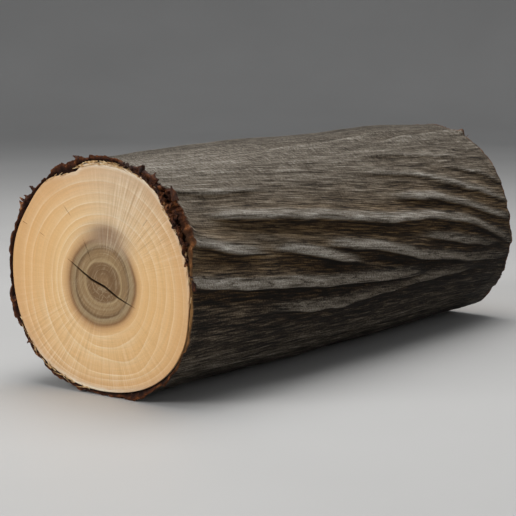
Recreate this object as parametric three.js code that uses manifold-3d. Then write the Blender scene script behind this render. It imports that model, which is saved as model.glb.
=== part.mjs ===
// A short sawn log lying on its side: pale wood with a sawn face at each end, inside a coat of grey bark.
// The long flowing ridges of the bark are steep on their lower side, and the saw has torn the bark's
// edge into teeth and lumps round both faces. A drying crack crosses the heart of each face.
// Millimetres, +Z up. The log lies along Y with its front face at -Y, and rests on a flat at z = 0.
import * as THREE from "three";
import { mergeVertices } from "three/addons/utils/BufferGeometryUtils.js";
import Module from "manifold-3d";

const wasm = await Module();
wasm.setup();

// Driving dimensions
const LENGTH = 400; // between the sawn faces
const WOOD_RADIUS = 73.6; // mean radius under the bark
const AXIS_HEIGHT = 74; // the heart's height over the flat that the log rests on
const BARK_THICKNESS = 1.9; // mean thickness between the ridges, at the front face
const BARK_LEAN = 1.0; // how much thicker the bark is on its thick side
const BARK_THICK_SIDE = 140; // degrees round the log
const GAP = 0.3; // between the wood and the bark
const BUTT_SWELL = 4.2; // how much the bark grows from the front face to the back
const SWELL_RUN = 170; // the length over which it does
const CRACK_DEPTH = 30;

// Mesh steps
const WOOD_SIDES = 120;
const BARK_SIDES = 132;
const BARK_ROWS = 22;

// Angles are in degrees round the log, from +X over the top, and lengths along it are from the front face.
const radians = THREE.MathUtils.degToRad;
const turn = (angle) => THREE.MathUtils.euclideanModulo(angle + 180, 360) - 180;
const bump = (offset, width) => Math.exp(-((offset / width) ** 2));

// The same sequence every time: a minimal standard generator.
function seededDraws(seed) {
  let state = seed;
  return (low, high) => {
    state = (state * 48271) % 2147483647;
    return low + ((high - low) * state) / 2147483647;
  };
}

// How far the grain has turned round the log at a length: it sinks towards the back end on both flanks,
// and runs nearly straight in a band low on the right.
const GRAIN = { sink: 34, band: -38, width: 22, straight: 0.9 }; // sink in degrees over the whole length

function grainTurn(angle, length) {
  const free = 1 - GRAIN.straight * bump(turn(angle - GRAIN.band), GRAIN.width);
  return -GRAIN.sink * Math.cos(radians(angle)) * free * (length / LENGTH - 0.5);
}

// Section of the log: lobes as [count, height in mm, angle of one crest]. The wood has hollows in it that
// the bark fills, as [angle, depth in mm, width in degrees].
const LOBES = [
  [1, 1.1, -130],
  [2, 1.5, -18],
  [3, 1.1, -41],
  [4, 1.2, -38],
];
const HOLLOWS = [
  [158, 2.8, 22],
  [-163, 2.7, 25],
  [112, 3.8, 9],
  [105, 1.6, 3],
  [78, 1.0, 12],
  [40, 1.2, 9],
  [-13, 1.5, 11],
  [-118, 0.6, 14],
];

function logRadius(angle) {
  const lobe = ([count, height, crest]) => height * Math.cos(radians(count * (angle - crest)));
  return WOOD_RADIUS + LOBES.reduce((sum, values) => sum + lobe(values), 0);
}

function woodRadius(angle) {
  const hollow = ([middle, depth, width]) => depth * bump(turn(angle - middle), width);
  return logRadius(angle) - HOLLOWS.reduce((sum, values) => sum + hollow(values), 0);
}

// Ridges of the side that shows: the line of each steep edge as [length, angle] points, and its height.
// A ridge whose steep side faces the way that angles grow has steep: -1.
const SHOWN_RIDGES = [
  { height: 4.2, line: [[20, 32], [100, 25], [160, 20], [215, 15], [290, 12], [340, 5], [400, -10], [430, -17]] },
  { height: 3.0, line: [[-30, 21.5], [20, 17], [45, 12.5], [85, 8]] },
  { height: 3.4, line: [[75, 12], [110, 6.5], [150, 0.5], [195, -5]] },
  { height: 4.4, line: [[130, 9], [200, 1.5], [250, -6], [300, -11], [360, -16], [420, -19.5]] },
  { height: 3.2, line: [[255, 5], [300, -1], [345, -6.5], [395, -8]] },
  { height: 3.8, line: [[-25, 3], [30, -3], [100, -9], [160, -13], [220, -15.5], [275, -17]] },
  { height: 4.0, line: [[70, -20], [140, -25], [200, -24], [250, -21.5], [350, -22]] },
  { height: 3.2, line: [[225, 26], [300, 21.5], [345, 14], [410, 2], [445, -4.5]] },
  { height: 2.6, line: [[285, 33], [330, 28], [375, 20], [410, 12], [445, 4.5]] },
  { height: 2.2, line: [[310, 42], [350, 37], [380, 31], [410, 23], [445, 14]] },
  { height: 1.6, line: [[200, 43], [260, 39], [330, 30]] },
  { height: 1.2, line: [[215, 54], [300, 50], [380, 43]] },
  { height: 1.4, line: [[-30, 51], [30, 44], [110, 40]] },
  { height: 1.2, steep: -1, line: [[120, 69], [230, 72], [320, 82]] },
  { height: 2.4, steep: -1, line: [[255, 65], [340, 69], [415, 74], [445, 76]] },
];

// Ridges of the far side, drawn by a rule: they turn with the grain, as the shown ones do, and stand
// high on the flank and low at the top and the underside.
const HIDDEN = {
  count: 25,
  seed: 11,
  first: 100, // angles between which their middles lie
  last: 324,
  place: [0.1, 0.9], // where each lies in its own share of those angles
  length: [150, 400],
  overrun: 30, // how far past the faces a ridge may start or end
  low: 1.0, // height away from the flank, and how much more there is on it
  high: 3.4,
  flank: 186,
  spread: 44,
  uneven: [0.7, 1.1],
  turn: [0.85, 1.1], // how much a ridge turns, against the grain's own turn
  bend: 3,
  points: [-0.5, -0.17, 0.17, 0.5], // shares of its length, from its middle
};

function hiddenRidges() {
  const draw = seededDraws(HIDDEN.seed);
  return Array.from({ length: HIDDEN.count }, (_, i) => {
    const place = (i + draw(...HIDDEN.place)) / HIDDEN.count;
    const middle = THREE.MathUtils.lerp(HIDDEN.first, HIDDEN.last, place);
    const length = draw(...HIDDEN.length);
    const start = draw(-HIDDEN.overrun, LENGTH + HIDDEN.overrun - length);
    const turned = (grainTurn(middle, length) - grainTurn(middle, 0)) * draw(...HIDDEN.turn);
    const bend = HIDDEN.bend * Math.sin(radians(4 * middle)) + draw(-1, 1);
    const raised = HIDDEN.low + HIDDEN.high * bump(middle - HIDDEN.flank, HIDDEN.spread);
    const height = raised * draw(...HIDDEN.uneven);
    const line = HIDDEN.points.map((share) => [
      start + (share + 0.5) * length,
      middle + turned * share + bend * Math.cos(Math.PI * share),
    ]);
    return { height, steep: middle < 270 ? -1 : 1, line };
  });
}

const CREST_WIDTH = 8; // the gentle side of a ridge
const STEEP_WIDTH = 2.6; // its steep side
const CREST_INSET = 2.2; // from the steep edge to the crest
const TROUGH = { offset: -7, width: 5, share: 0.3 }; // the hollow under the steep edge
const FADE = 45; // the length over which a ridge rises and sinks at its ends

const ridges = [...SHOWN_RIDGES, ...hiddenRidges()].map(({ height, line, steep = 1 }) => {
  const lengths = line.map(([length]) => length);
  const angles = line.map(([, angle]) => angle);
  const curve = new THREE.CubicInterpolant(lengths, angles, 1, new Float32Array(1));
  const [from, to] = [lengths[0], lengths[lengths.length - 1]];
  return { height, steep, from, to, angleAt: (length) => curve.evaluate(length)[0] };
});

function ridgeHeight({ height, steep, from, to, angleAt }, angle, length) {
  const fadeIn = THREE.MathUtils.smoothstep(length, from, from + FADE);
  const fadeOut = 1 - THREE.MathUtils.smoothstep(length, to - FADE, to);
  const share = fadeIn * fadeOut;
  if (share === 0) return 0;
  const inside = THREE.MathUtils.clamp(length, from, to);
  const offset = steep * radians(turn(angle - angleAt(inside))) * WOOD_RADIUS;
  const crest = offset - CREST_INSET;
  const rise = bump(crest, crest > 0 ? CREST_WIDTH : STEEP_WIDTH);
  return share * height * (rise - TROUGH.share * bump(offset - TROUGH.offset, TROUGH.width));
}

// A swelling on the top, near the back end.
const SWELLING = { height: 3, length: 340, run: 60, angle: 97, width: 24 };

const PRESSED = { share: 0.75, angle: -75, width: 35 }; // the bark grows less on the underside

// Where the bark is thinner or thicker all along, as [angle, mm more, width in degrees].
const UNEVEN_COVER = [
  [-120, -0.9, 14],
  [-66, 1.8, 26],
];

function barkRadius(angle, length) {
  const lean = BARK_LEAN * Math.cos(radians(angle - BARK_THICK_SIDE));
  const uneven = ([middle, more, width]) => more * bump(turn(angle - middle), width);
  const thickness = UNEVEN_COVER.reduce((sum, values) => sum + uneven(values), BARK_THICKNESS + lean);
  const pressed = 1 - PRESSED.share * bump(turn(angle - PRESSED.angle), PRESSED.width);
  const butt = BUTT_SWELL * pressed * THREE.MathUtils.smoothstep(length, 0, SWELL_RUN);
  const swelling = SWELLING.height * bump(length - SWELLING.length, SWELLING.run);
  const swollen = swelling * bump(turn(angle - SWELLING.angle), SWELLING.width);
  const relief = ridges.reduce((sum, ridge) => sum + ridgeHeight(ridge, angle, length), 0);
  return logRadius(angle) + thickness + butt + swollen + relief;
}

// The torn rim of the bark at each end: teeth that stand outwards from their root, and past the sawn
// face or short of it. Every second side of the mesh is a tooth's tip. The rim is even where the saw
// left a clean edge, at [angle, share, width in degrees], and one flap stands out of the back rim.
const TEETH = { tip: [0.3, 2.2], notch: [-0.5, 0.4], past: 1.1, root: 6 };
const RIMS = [
  { seed: 5, clean: [[-20, 0.8, 40], [-118, 0.6, 14]], flap: { out: 0, angle: 0, width: 1 } },
  { seed: 17, clean: [[20, 0.75, 75]], flap: { out: 3.2, angle: 66.5, width: 2.6 } },
];

const rims = RIMS.map(({ seed, clean, flap }) => {
  const draw = seededDraws(seed);
  const teeth = Array.from({ length: BARK_SIDES }, (_, i) => ({
    out: draw(...(i % 2 === 0 ? TEETH.tip : TEETH.notch)),
    past: draw(-TEETH.past, TEETH.past),
  }));
  return { teeth, clean, flap };
});

// A closed mesh as a solid to join and cut, and the solid as a mesh again.
function solidOf(geometry) {
  const bare = geometry.clone();
  bare.deleteAttribute("normal");
  bare.deleteAttribute("uv");
  const merged = mergeVertices(bare, 1e-4);
  const vertProperties = merged.attributes.position.array;
  const triVerts = new Uint32Array(merged.index.array);
  return new wasm.Manifold(new wasm.Mesh({ numProp: 3, vertProperties, triVerts }));
}

function geometryOf(solid) {
  const { vertProperties, triVerts } = solid.getMesh();
  const geometry = new THREE.BufferGeometry();
  geometry.setAttribute("position", new THREE.BufferAttribute(vertProperties, 3));
  geometry.setIndex(new THREE.BufferAttribute(triVerts, 1));
  geometry.computeVertexNormals();
  return geometry;
}

// A round bar along Y. place gives a point of its side as [angle, radius, y], from the side's angle
// before that and the share of the way from the front end to the back.
function shapedBar(sides, rows, place) {
  const bar = new THREE.CylinderGeometry(1, 1, 1, sides, rows);
  const point = new THREE.Vector3();
  const { position } = bar.attributes;
  for (let i = 0; i < position.count; i += 1) {
    point.fromBufferAttribute(position, i);
    const side = THREE.MathUtils.radToDeg(Math.atan2(point.z, point.x));
    const [angle, radius, y] = place(side, point.y + 0.5);
    const out = Math.hypot(point.x, point.z) < 0.5 ? 0 : radius; // the middle of an end stays on the axis
    position.setXYZ(i, out * Math.cos(radians(angle)), y, AXIS_HEIGHT + out * Math.sin(radians(angle)));
  }
  return solidOf(bar);
}

const evenBar = (length, radiusAt) =>
  shapedBar(WOOD_SIDES, 1, (side, share) => [side, radiusAt(side), (share - 0.5) * length]);

// Drying cracks: points of the middle line as [x, height over the heart], and the widest gape.
const FRONT_CRACK = {
  gape: 1.1,
  line: [[-27.4, 10.9], [-12.3, 2], [0.4, -3.6], [10, -7.9], [21.6, -13.2], [30.3, -16.2]],
};
const BACK_CRACK = {
  gape: 1.3,
  line: [[-19, -22], [-9, -11], [0, -2.5], [6, 6], [14, 17], [24, 26]],
};
const CRACK_POINTS = 18;

function crackSolid({ gape, line }, middle) {
  const curve = new THREE.SplineCurve(line.map(([x, z]) => new THREE.Vector2(x, z)));
  const side = (sign) =>
    Array.from({ length: CRACK_POINTS + 1 }, (_, i) => {
      const share = i / CRACK_POINTS;
      const half = (sign * gape * Math.sin(Math.PI * share)) / 2;
      const along = curve.getTangent(share);
      return curve.getPoint(share).add(new THREE.Vector2(-along.y * half, along.x * half));
    });
  const outline = new THREE.Shape([...side(-1), ...side(1).reverse().slice(1, -1)]);
  const depth = 2 * CRACK_DEPTH; // half of it stands outside the face
  const geometry = new THREE.ExtrudeGeometry(outline, { depth, bevelEnabled: false, steps: 1 });
  geometry.rotateX(Math.PI / 2).translate(0, middle + CRACK_DEPTH, AXIS_HEIGHT);
  return solidOf(geometry);
}

function makeWood() {
  return evenBar(LENGTH, woodRadius)
    .subtract(crackSolid(FRONT_CRACK, -LENGTH / 2))
    .subtract(crackSolid(BACK_CRACK, LENGTH / 2));
}

// A point of the bark's mesh: its rows lie at the ends, at the roots of the teeth and evenly between
// them, and its edges turn with the grain.
function placeBark(side, share) {
  const row = Math.round(share * BARK_ROWS);
  const inner = THREE.MathUtils.lerp(TEETH.root, LENGTH - TEETH.root, (row - 1) / (BARK_ROWS - 2));
  const length = THREE.MathUtils.clamp(inner, 0, LENGTH);
  const angle = side + grainTurn(side, length);
  const radius = barkRadius(angle, length);
  if (row > 0 && row < BARK_ROWS) return [angle, radius, length - LENGTH / 2];
  const step = Math.round((THREE.MathUtils.euclideanModulo(side, 360) * BARK_SIDES) / 360) % BARK_SIDES;
  const { teeth, clean, flap } = rims[row === 0 ? 0 : 1];
  const { out, past } = teeth[step];
  const even = ([middle, part, width]) => part * bump(turn(angle - middle), width);
  const torn = 1 - clean.reduce((sum, values) => sum + even(values), 0);
  const raised = flap.out * bump(turn(angle - flap.angle), flap.width);
  const reach = LENGTH / 2 + past * torn;
  return [angle, radius + out * torn + raised, row === 0 ? -reach : reach];
}

// Lumps of broken bark at the rims: crooked blocks that narrow outwards, with their feet sunk in the
// bark. Sizes are [out, round, along], and at is how far a lump's middle lies in from the face.
const LUMP = {
  small: [5, 5, 6],
  large: [9, 10, 12],
  sunk: 3.6,
  at: [0.12, 0.4], // share of its size along
  crooked: 0.2,
  narrow: [0.2, 0.8],
  lean: [-0.5, 0.5], // radians round the log
  tip: [-0.1, 0.45], // radians towards its middle
  scatter: 2.5, // degrees
};
const LUMP_GROUPS = [
  { end: -1, first: 66, last: 22, count: 13, seed: 23, scale: 1 },
  { end: -1, first: 150, last: 138, count: 3, seed: 41, scale: 0.75 },
  { end: -1, first: 228, last: 196, count: 4, seed: 59, scale: 0.65 },
  { end: 1, first: 170, last: 228, count: 12, seed: 71, scale: 0.9 },
];

function lumpSolid(draw, angle, end, scale) {
  const weight = draw(0, 1);
  const size = LUMP.small.map((least, k) => scale * THREE.MathUtils.lerp(least, LUMP.large[k], weight));
  const lump = new THREE.BoxGeometry(...size);
  const { position } = lump.attributes;
  const corner = new THREE.Vector3();
  const corners = new Map();
  for (let i = 0; i < position.count; i += 1) {
    corner.fromBufferAttribute(position, i);
    const key = corner.toArray().map(Math.sign).join();
    if (!corners.has(key)) {
      const narrow = corner.x > 0 ? draw(...LUMP.narrow) : 1;
      const [out, round, along] = size.map((side) => side * draw(-LUMP.crooked, LUMP.crooked));
      corners.set(key, [corner.x + out, corner.y * narrow + round, corner.z * narrow + along]);
    }
    position.setXYZ(i, ...corners.get(key));
  }
  // The block's X points outwards, its Y round the log and its Z along it, before it is turned.
  lump.rotateZ(draw(...LUMP.lean)).rotateY(end * draw(...LUMP.tip));
  const radius = barkRadius(angle, end < 0 ? 0 : LENGTH) + size[0] / 2 - scale * LUMP.sunk;
  lump.translate(radius, 0, 0).rotateZ(radians(angle)).rotateX(Math.PI / 2);
  return solidOf(lump.translate(0, end * (LENGTH / 2 - draw(...LUMP.at) * size[2]), AXIS_HEIGHT));
}

function lumpGroup({ end, first, last, count, seed, scale }) {
  const draw = seededDraws(seed);
  return Array.from({ length: count }, (_, i) => {
    const angle = THREE.MathUtils.lerp(first, last, i / (count - 1)) + draw(-LUMP.scatter, LUMP.scatter);
    return lumpSolid(draw, angle, end, scale);
  });
}

const FLOOR = 600; // side of the block that trims the underside
const THROUGH = 1.2; // the room for the wood is this much longer than the log

function makeBark() {
  let bark = shapedBar(BARK_SIDES, BARK_ROWS, placeBark);
  for (const lump of LUMP_GROUPS.flatMap(lumpGroup)) bark = bark.add(lump);
  const woodRoom = evenBar(LENGTH * THROUGH, (angle) => woodRadius(angle) + GAP);
  const floor = solidOf(new THREE.BoxGeometry(FLOOR, FLOOR, FLOOR).translate(0, 0, -FLOOR / 2));
  const pieces = bark.subtract(woodRoom).subtract(floor).decompose();
  return pieces.sort((a, b) => b.volume() - a.volume())[0];
}

const PALE_WOOD = new THREE.MeshStandardMaterial({ color: 0xdfb887, roughness: 0.72, metalness: 0 });
const GREY_BARK = new THREE.MeshStandardMaterial({ color: 0x6b625a, roughness: 0.88, metalness: 0 });

function named(name, solid, material) {
  const mesh = new THREE.Mesh(geometryOf(solid), material);
  mesh.name = name;
  return mesh;
}

const log = new THREE.Group();
log.add(named("wood", makeWood(), PALE_WOOD), named("bark", makeBark(), GREY_BARK));

export default log;
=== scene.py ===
"""A short sawn log on a pale floor: pale wood inside a coat of grey ridged bark. Metres, +Z up.

The log lies along Y with its front face at -Y. Angles round it are in degrees, from +X over the top,
and lengths along it are from its front face.
"""
import math

import bpy
import numpy as np
from mathutils import Matrix, Vector
from mathutils.noise import noise_vector, seed_set


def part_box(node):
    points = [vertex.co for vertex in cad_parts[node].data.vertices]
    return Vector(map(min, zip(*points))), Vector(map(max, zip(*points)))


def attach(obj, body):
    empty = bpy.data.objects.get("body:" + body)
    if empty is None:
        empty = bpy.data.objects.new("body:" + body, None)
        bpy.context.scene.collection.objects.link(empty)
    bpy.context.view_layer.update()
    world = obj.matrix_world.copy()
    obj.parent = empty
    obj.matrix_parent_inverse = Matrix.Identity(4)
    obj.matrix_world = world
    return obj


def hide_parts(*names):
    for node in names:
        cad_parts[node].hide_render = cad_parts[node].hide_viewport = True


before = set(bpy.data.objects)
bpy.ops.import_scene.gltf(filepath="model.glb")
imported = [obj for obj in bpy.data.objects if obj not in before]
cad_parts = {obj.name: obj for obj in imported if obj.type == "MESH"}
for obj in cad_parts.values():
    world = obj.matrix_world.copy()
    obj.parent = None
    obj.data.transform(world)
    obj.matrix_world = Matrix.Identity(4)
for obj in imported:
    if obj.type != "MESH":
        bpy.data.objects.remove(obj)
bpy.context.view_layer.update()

# Camera
# A long lens to the right of the front face, a little above the log, so that the face and the
# right flank both show.
CAMERA_PLACE = (0.6236, -0.8777, 0.2128)
CAMERA_TURN = math.radians(36.48)
CAMERA_DIP = math.radians(7.85)
LENS = 104.5  # mm
SENSOR_WIDTH = 36  # mm

camera_data = bpy.data.cameras.new("camera")
camera_data.lens = LENS
camera_data.sensor_width = SENSOR_WIDTH
camera = bpy.data.objects.new("camera", camera_data)
camera.location = CAMERA_PLACE
camera.rotation_euler = (math.pi / 2 - CAMERA_DIP, 0, CAMERA_TURN)
bpy.context.scene.collection.objects.link(camera)
bpy.context.scene.camera = camera


# Floor
# A wide pale studio floor, painted a slightly cloudy grey. It is one round sheet, and its rim curves
# up into a backdrop on all sides.
FLOOR_RADIUS = 2.6
FLOOR_SIDES = 128
RIM_RISE = 2.2
RIM_SPREAD = 1.6
RIM_STEPS = 12


def srgb(red, green, blue):
    """A colour given as a screen shows it, from 0 to 255, as the linear colour that a shader takes."""
    share = np.array([red, green, blue]) / 255
    linear = np.where(share <= 0.04045, share / 12.92, ((share + 0.055) / 1.055) ** 2.4)
    return (*linear.tolist(), 1.0)


def add_node(tree, kind, inputs=None, **settings):
    """A shader node. inputs gives sockets, by name or number, a value or a socket to take it from."""
    made = tree.nodes.new("ShaderNode" + kind)
    for name, value in settings.items():
        setattr(made, name, value)
    for name, value in (inputs or {}).items():
        if isinstance(value, bpy.types.NodeSocket):
            tree.links.new(value, made.inputs[name])
        else:
            made.inputs[name].default_value = value
    return made


def maths(tree, operation, *values):
    return add_node(tree, "Math", dict(enumerate(values)), operation=operation).outputs[0]


def mixed(tree, factor, first, second, blend_type="MIX"):
    """Two colours mixed."""
    sockets = {0: factor, 6: first, 7: second}
    return add_node(tree, "Mix", sockets, data_type="RGBA", blend_type=blend_type).outputs[2]


def noise(tree, vector, scale, detail=3.0, roughness=0.5, distortion=0.0):
    sockets = {"Vector": vector, "Scale": scale, "Detail": detail, "Roughness": roughness}
    return add_node(tree, "TexNoise", {**sockets, "Distortion": distortion}).outputs[0]


def ramp(tree, factor, stops):
    """A colour ramp. stops are pairs of a place from 0 to 1 and a colour."""
    made = add_node(tree, "ValToRGB", {0: factor})
    elements = made.color_ramp.elements
    elements.remove(elements[1])
    for k, (place, colour) in enumerate(stops):
        element = elements[0] if k == 0 else elements.new(place)
        element.position = place
        element.color = colour
    return made.outputs[0]


def new_material(name):
    """A material with its node tree cleared down to the Principled BSDF and the output."""
    material = bpy.data.materials.new(name)
    material.use_nodes = True
    return material, material.node_tree, material.node_tree.nodes["Principled BSDF"]


def object_place(tree):
    return add_node(tree, "TexCoord").outputs["Object"]


FLOOR_TONES = [(0.3, srgb(176, 175, 173)), (0.7, srgb(182, 181, 179))]


def edit_all():
    """Opens the new mesh in edit mode, with all of it selected."""
    bpy.ops.object.mode_set(mode="EDIT")
    bpy.ops.mesh.select_all(action="SELECT")


def add_floor():
    bpy.ops.object.select_all(action="DESELECT")
    bpy.ops.mesh.primitive_circle_add(vertices=FLOOR_SIDES, radius=FLOOR_RADIUS, fill_type="NGON")
    floor = bpy.context.object
    floor.name = "studio_floor"
    edit_all()
    spread, rise = 0.0, 0.0
    for step in range(1, RIM_STEPS + 1):
        turn = math.pi / 2 * step / RIM_STEPS
        new_spread, new_rise = RIM_SPREAD * math.sin(turn), RIM_RISE * (1 - math.cos(turn))
        bpy.ops.mesh.extrude_edges_move(TRANSFORM_OT_translate={"value": (0, 0, new_rise - rise)})
        growth = (FLOOR_RADIUS + new_spread) / (FLOOR_RADIUS + spread)
        bpy.ops.transform.resize(value=(growth, growth, 1), center_override=(0, 0, new_rise))
        spread, rise = new_spread, new_rise
    bpy.ops.object.mode_set(mode="OBJECT")
    bpy.ops.object.shade_smooth()
    material, tree, shader = new_material("pale floor")
    cloud = noise(tree, object_place(tree), scale=3.0, detail=4.0)
    tree.links.new(ramp(tree, cloud, FLOOR_TONES), shader.inputs["Base Color"])
    shader.inputs["Roughness"].default_value = 0.6
    floor.data.materials.append(material)


add_floor()


# Light
# Soft boxes: a large one over the log, which makes the ridges stand out, one before the sawn face on
# its left, and a weak fill on the right.
SOFT_BOXES = {
    "over": {"place": (-0.12, 0.15, 1.5), "size": 1.3, "power": 24},
    "before": {"place": (-0.72, -1.65, 0.95), "size": 0.9, "power": 20.5},
    "right": {"place": (1.9, -0.5, 0.8), "size": 0.9, "power": 4},
}
LIT_POINT = Vector((0, 0, 0.07))
SKY = {"Color": srgb(210, 213, 218), "Strength": 0.35}

for name, box in SOFT_BOXES.items():
    lamp_data = bpy.data.lights.new("soft box " + name, "AREA")
    lamp_data.shape = "SQUARE"
    lamp_data.size = box["size"]
    lamp_data.energy = box["power"]
    lamp = bpy.data.objects.new(lamp_data.name, lamp_data)
    lamp.location = box["place"]
    lamp.rotation_euler = (LIT_POINT - lamp.location).to_track_quat("-Z", "Y").to_euler()
    bpy.context.scene.collection.objects.link(lamp)

world = bpy.data.worlds.new("studio")
world.use_nodes = True
for name, value in SKY.items():
    world.node_tree.nodes["Background"].inputs[name].default_value = value
bpy.context.scene.world = world
bpy.context.scene.view_settings.view_transform = "Standard"


# Wood
# The body of the log, sawn square at both ends. Each face shows the growth rings, the grey-brown
# heart, pale rays and a drying crack that opens across the heart, with small checks further out.
# It is a ball squared off to the log's section, with the cracks cut out of it.
wood_low, wood_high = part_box("wood")
FRONT = wood_low.y
BACK = wood_high.y
LENGTH = BACK - FRONT
AXIS_HEIGHT = 0.074
PITH = np.array([0.0045, -0.001])  # across and above the axis
LOG_RADIUS = 0.0736

# Lobes of the log's section: how many round it, their height and the angle of a crest. Then hollows of
# the wood that the bark fills: angle, depth and width in degrees. A negative depth is a hump.
LOBES = [(1, 0.0011, -130), (2, 0.0015, -18), (3, 0.0011, -41), (4, 0.0012, -38)]
HOLLOWS = [
    (146, 0.0022, 15),
    (112, 0.0038, 9),
    (105, 0.0016, 3),
    (58, -0.0012, 13),
    (38, 0.0012, 6),
    (27, 0.0007, 5),
    (-13, 0.0015, 11),
    (-118, 0.0006, 14),
]
WOOD_SIDES = 360
FACE_RINGS = 60
SIDE_RINGS = 4
SAWN_EDGE = 0.0003  # worn off round each face

# Drying cracks and checks: lines in mm across and above the axis.
FRONT_CRACK = [(-27.4, 10.9), (-20.8, 7.0), (-12.3, 2.0), (-6.0, -1.5), (0.4, -3.6), (4.7, -5.0),
               (10.0, -7.9), (15.3, -10.7), (21.6, -13.2), (30.3, -16.2)]
BACK_CRACK = [(-19, -22), (-9, -11), (0, -2.5), (6, 6), (14, 17), (24, 26)]
CRACK = {"gape": 0.0016, "depth": 0.03, "points": 96}
FRONT_CHECKS = [
    [(-29.3, 43.8), (-22.4, 36.7)],
    [(-51.0, 25.6), (-45.2, 22.6)],
    [(-65.9, 31.4), (-60.6, 29.3)],
    [(-13.6, 24.8), (-9.2, 17.0), (-5.5, 8.9)],
]
BACK_CHECKS = [
    [(30, 38), (38, 47)],
    [(-46, -20), (-55, -24)],
    [(20, -52), (22, -61)],
]
CHECK = {"gape": 0.00034, "depth": 0.002, "points": 16}
CRACK_TAPER = 0.8  # under 1, a crack keeps its gape further towards its ends
CRACK_STEP = 0.02  # share of a crack over which its direction is read


def turned(angle):
    """An angle in degrees, from -180 to 180."""
    return (np.asarray(angle) + 180) % 360 - 180


def bump(offset, width):
    return np.exp(-((offset / width) ** 2))


def smoothstep(value, low, high):
    share = np.clip((value - low) / (high - low), 0, 1)
    return share * share * (3 - 2 * share)


def bumps(angle, places):
    """The sum of bumps round the log, each given as its angle, height and width in degrees."""
    return sum(height * bump(turned(angle - middle), width) for middle, height, width in places)


def log_radius(angle):
    waves = sum(height * np.cos(np.radians(count * (angle - crest))) for count, height, crest in LOBES)
    return LOG_RADIUS + waves


def wood_radius(angle):
    return log_radius(angle) - bumps(angle, HOLLOWS)


def points_of(piece):
    points = np.empty(len(piece.data.vertices) * 3)
    piece.data.vertices.foreach_get("co", points)
    return points.reshape(-1, 3)


def move_points(piece, points):
    piece.data.vertices.foreach_set("co", points.ravel())
    piece.data.update()


def on_log(across, along, above):
    """Points given across, along and above the log's axis."""
    return np.stack([across, along + 0 * across, AXIS_HEIGHT + above], axis=1)


def add_attribute(piece, name, values):
    """One number, or one vector, for each point of the mesh, for its material to read."""
    kind, key = ("FLOAT", "value") if values.ndim == 1 else ("FLOAT_VECTOR", "vector")
    layer = piece.data.attributes.new(name, kind, "POINT")
    layer.data.foreach_set(key, values.ravel())


def apply_modifier(piece, kind, **settings):
    modifier = piece.modifiers.new(kind.lower(), kind)
    for name, value in settings.items():
        setattr(modifier, name, value)
    bpy.context.view_layer.objects.active = piece
    bpy.ops.object.modifier_apply(modifier=modifier.name)


def select_only(pieces):
    bpy.ops.object.select_all(action="DESELECT")
    for piece in pieces:
        piece.select_set(True)
    bpy.context.view_layer.objects.active = pieces[0]


def joined(pieces, name):
    select_only(pieces)
    bpy.ops.object.join()
    pieces[0].name = name
    return pieces[0]


def smooth_shaded(piece, sharp_angle):
    select_only([piece])
    bpy.ops.object.shade_smooth_by_angle(angle=math.radians(sharp_angle))


def finish(piece, material, node):
    piece.data.materials.clear()
    piece.data.materials.append(material)
    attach(piece, "root")
    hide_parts(node)


def add_split(line, face, gape, depth, points):
    """A thin prism with pointed ends, standing through a face, to cut a crack along a line."""
    line = np.array(line) / 1000
    bpy.ops.object.select_all(action="DESELECT")
    bpy.ops.mesh.primitive_circle_add(vertices=points, radius=1, fill_type="NGON")
    split = bpy.context.object
    steps = np.cumsum(np.r_[0, np.hypot(*np.diff(line, axis=0).T)])
    share = np.arange(points) / (points / 2)
    way = np.where(share <= 1, share, 2 - share)

    def on_line(place):
        return np.array([np.interp(place * steps[-1], steps, line[:, k]) for k in range(2)])

    along = on_line(way + CRACK_STEP) - on_line(way - CRACK_STEP)
    along /= np.hypot(*along)
    half = gape / 2 * np.sin(np.pi * way) ** CRACK_TAPER * np.where(share <= 1, 1, -1)
    across, above = on_line(way) + half * np.array([-along[1], along[0]])
    move_points(split, on_log(across, face - depth, above))
    edit_all()
    bpy.ops.mesh.extrude_region_move(TRANSFORM_OT_translate={"value": (0, 2 * depth, 0)})
    bpy.ops.mesh.select_all(action="SELECT")
    bpy.ops.mesh.normals_make_consistent(inside=False)
    bpy.ops.object.mode_set(mode="OBJECT")
    return split


def share_of(outline, across, above):
    """How far each point lies on the way from the pith to an outline, which gives a radius by angle."""
    from_pith = np.stack([across, above]) - PITH[:, None]
    share = np.maximum(np.hypot(*from_pith) / LOG_RADIUS, 1e-6)
    for _ in range(12):  # each round brings the share nearer
        edge = PITH[:, None] + from_pith / share
        angle = np.degrees(np.arctan2(edge[1], edge[0]))
        share = share * np.hypot(*edge) / outline(angle)
    return share


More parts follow.
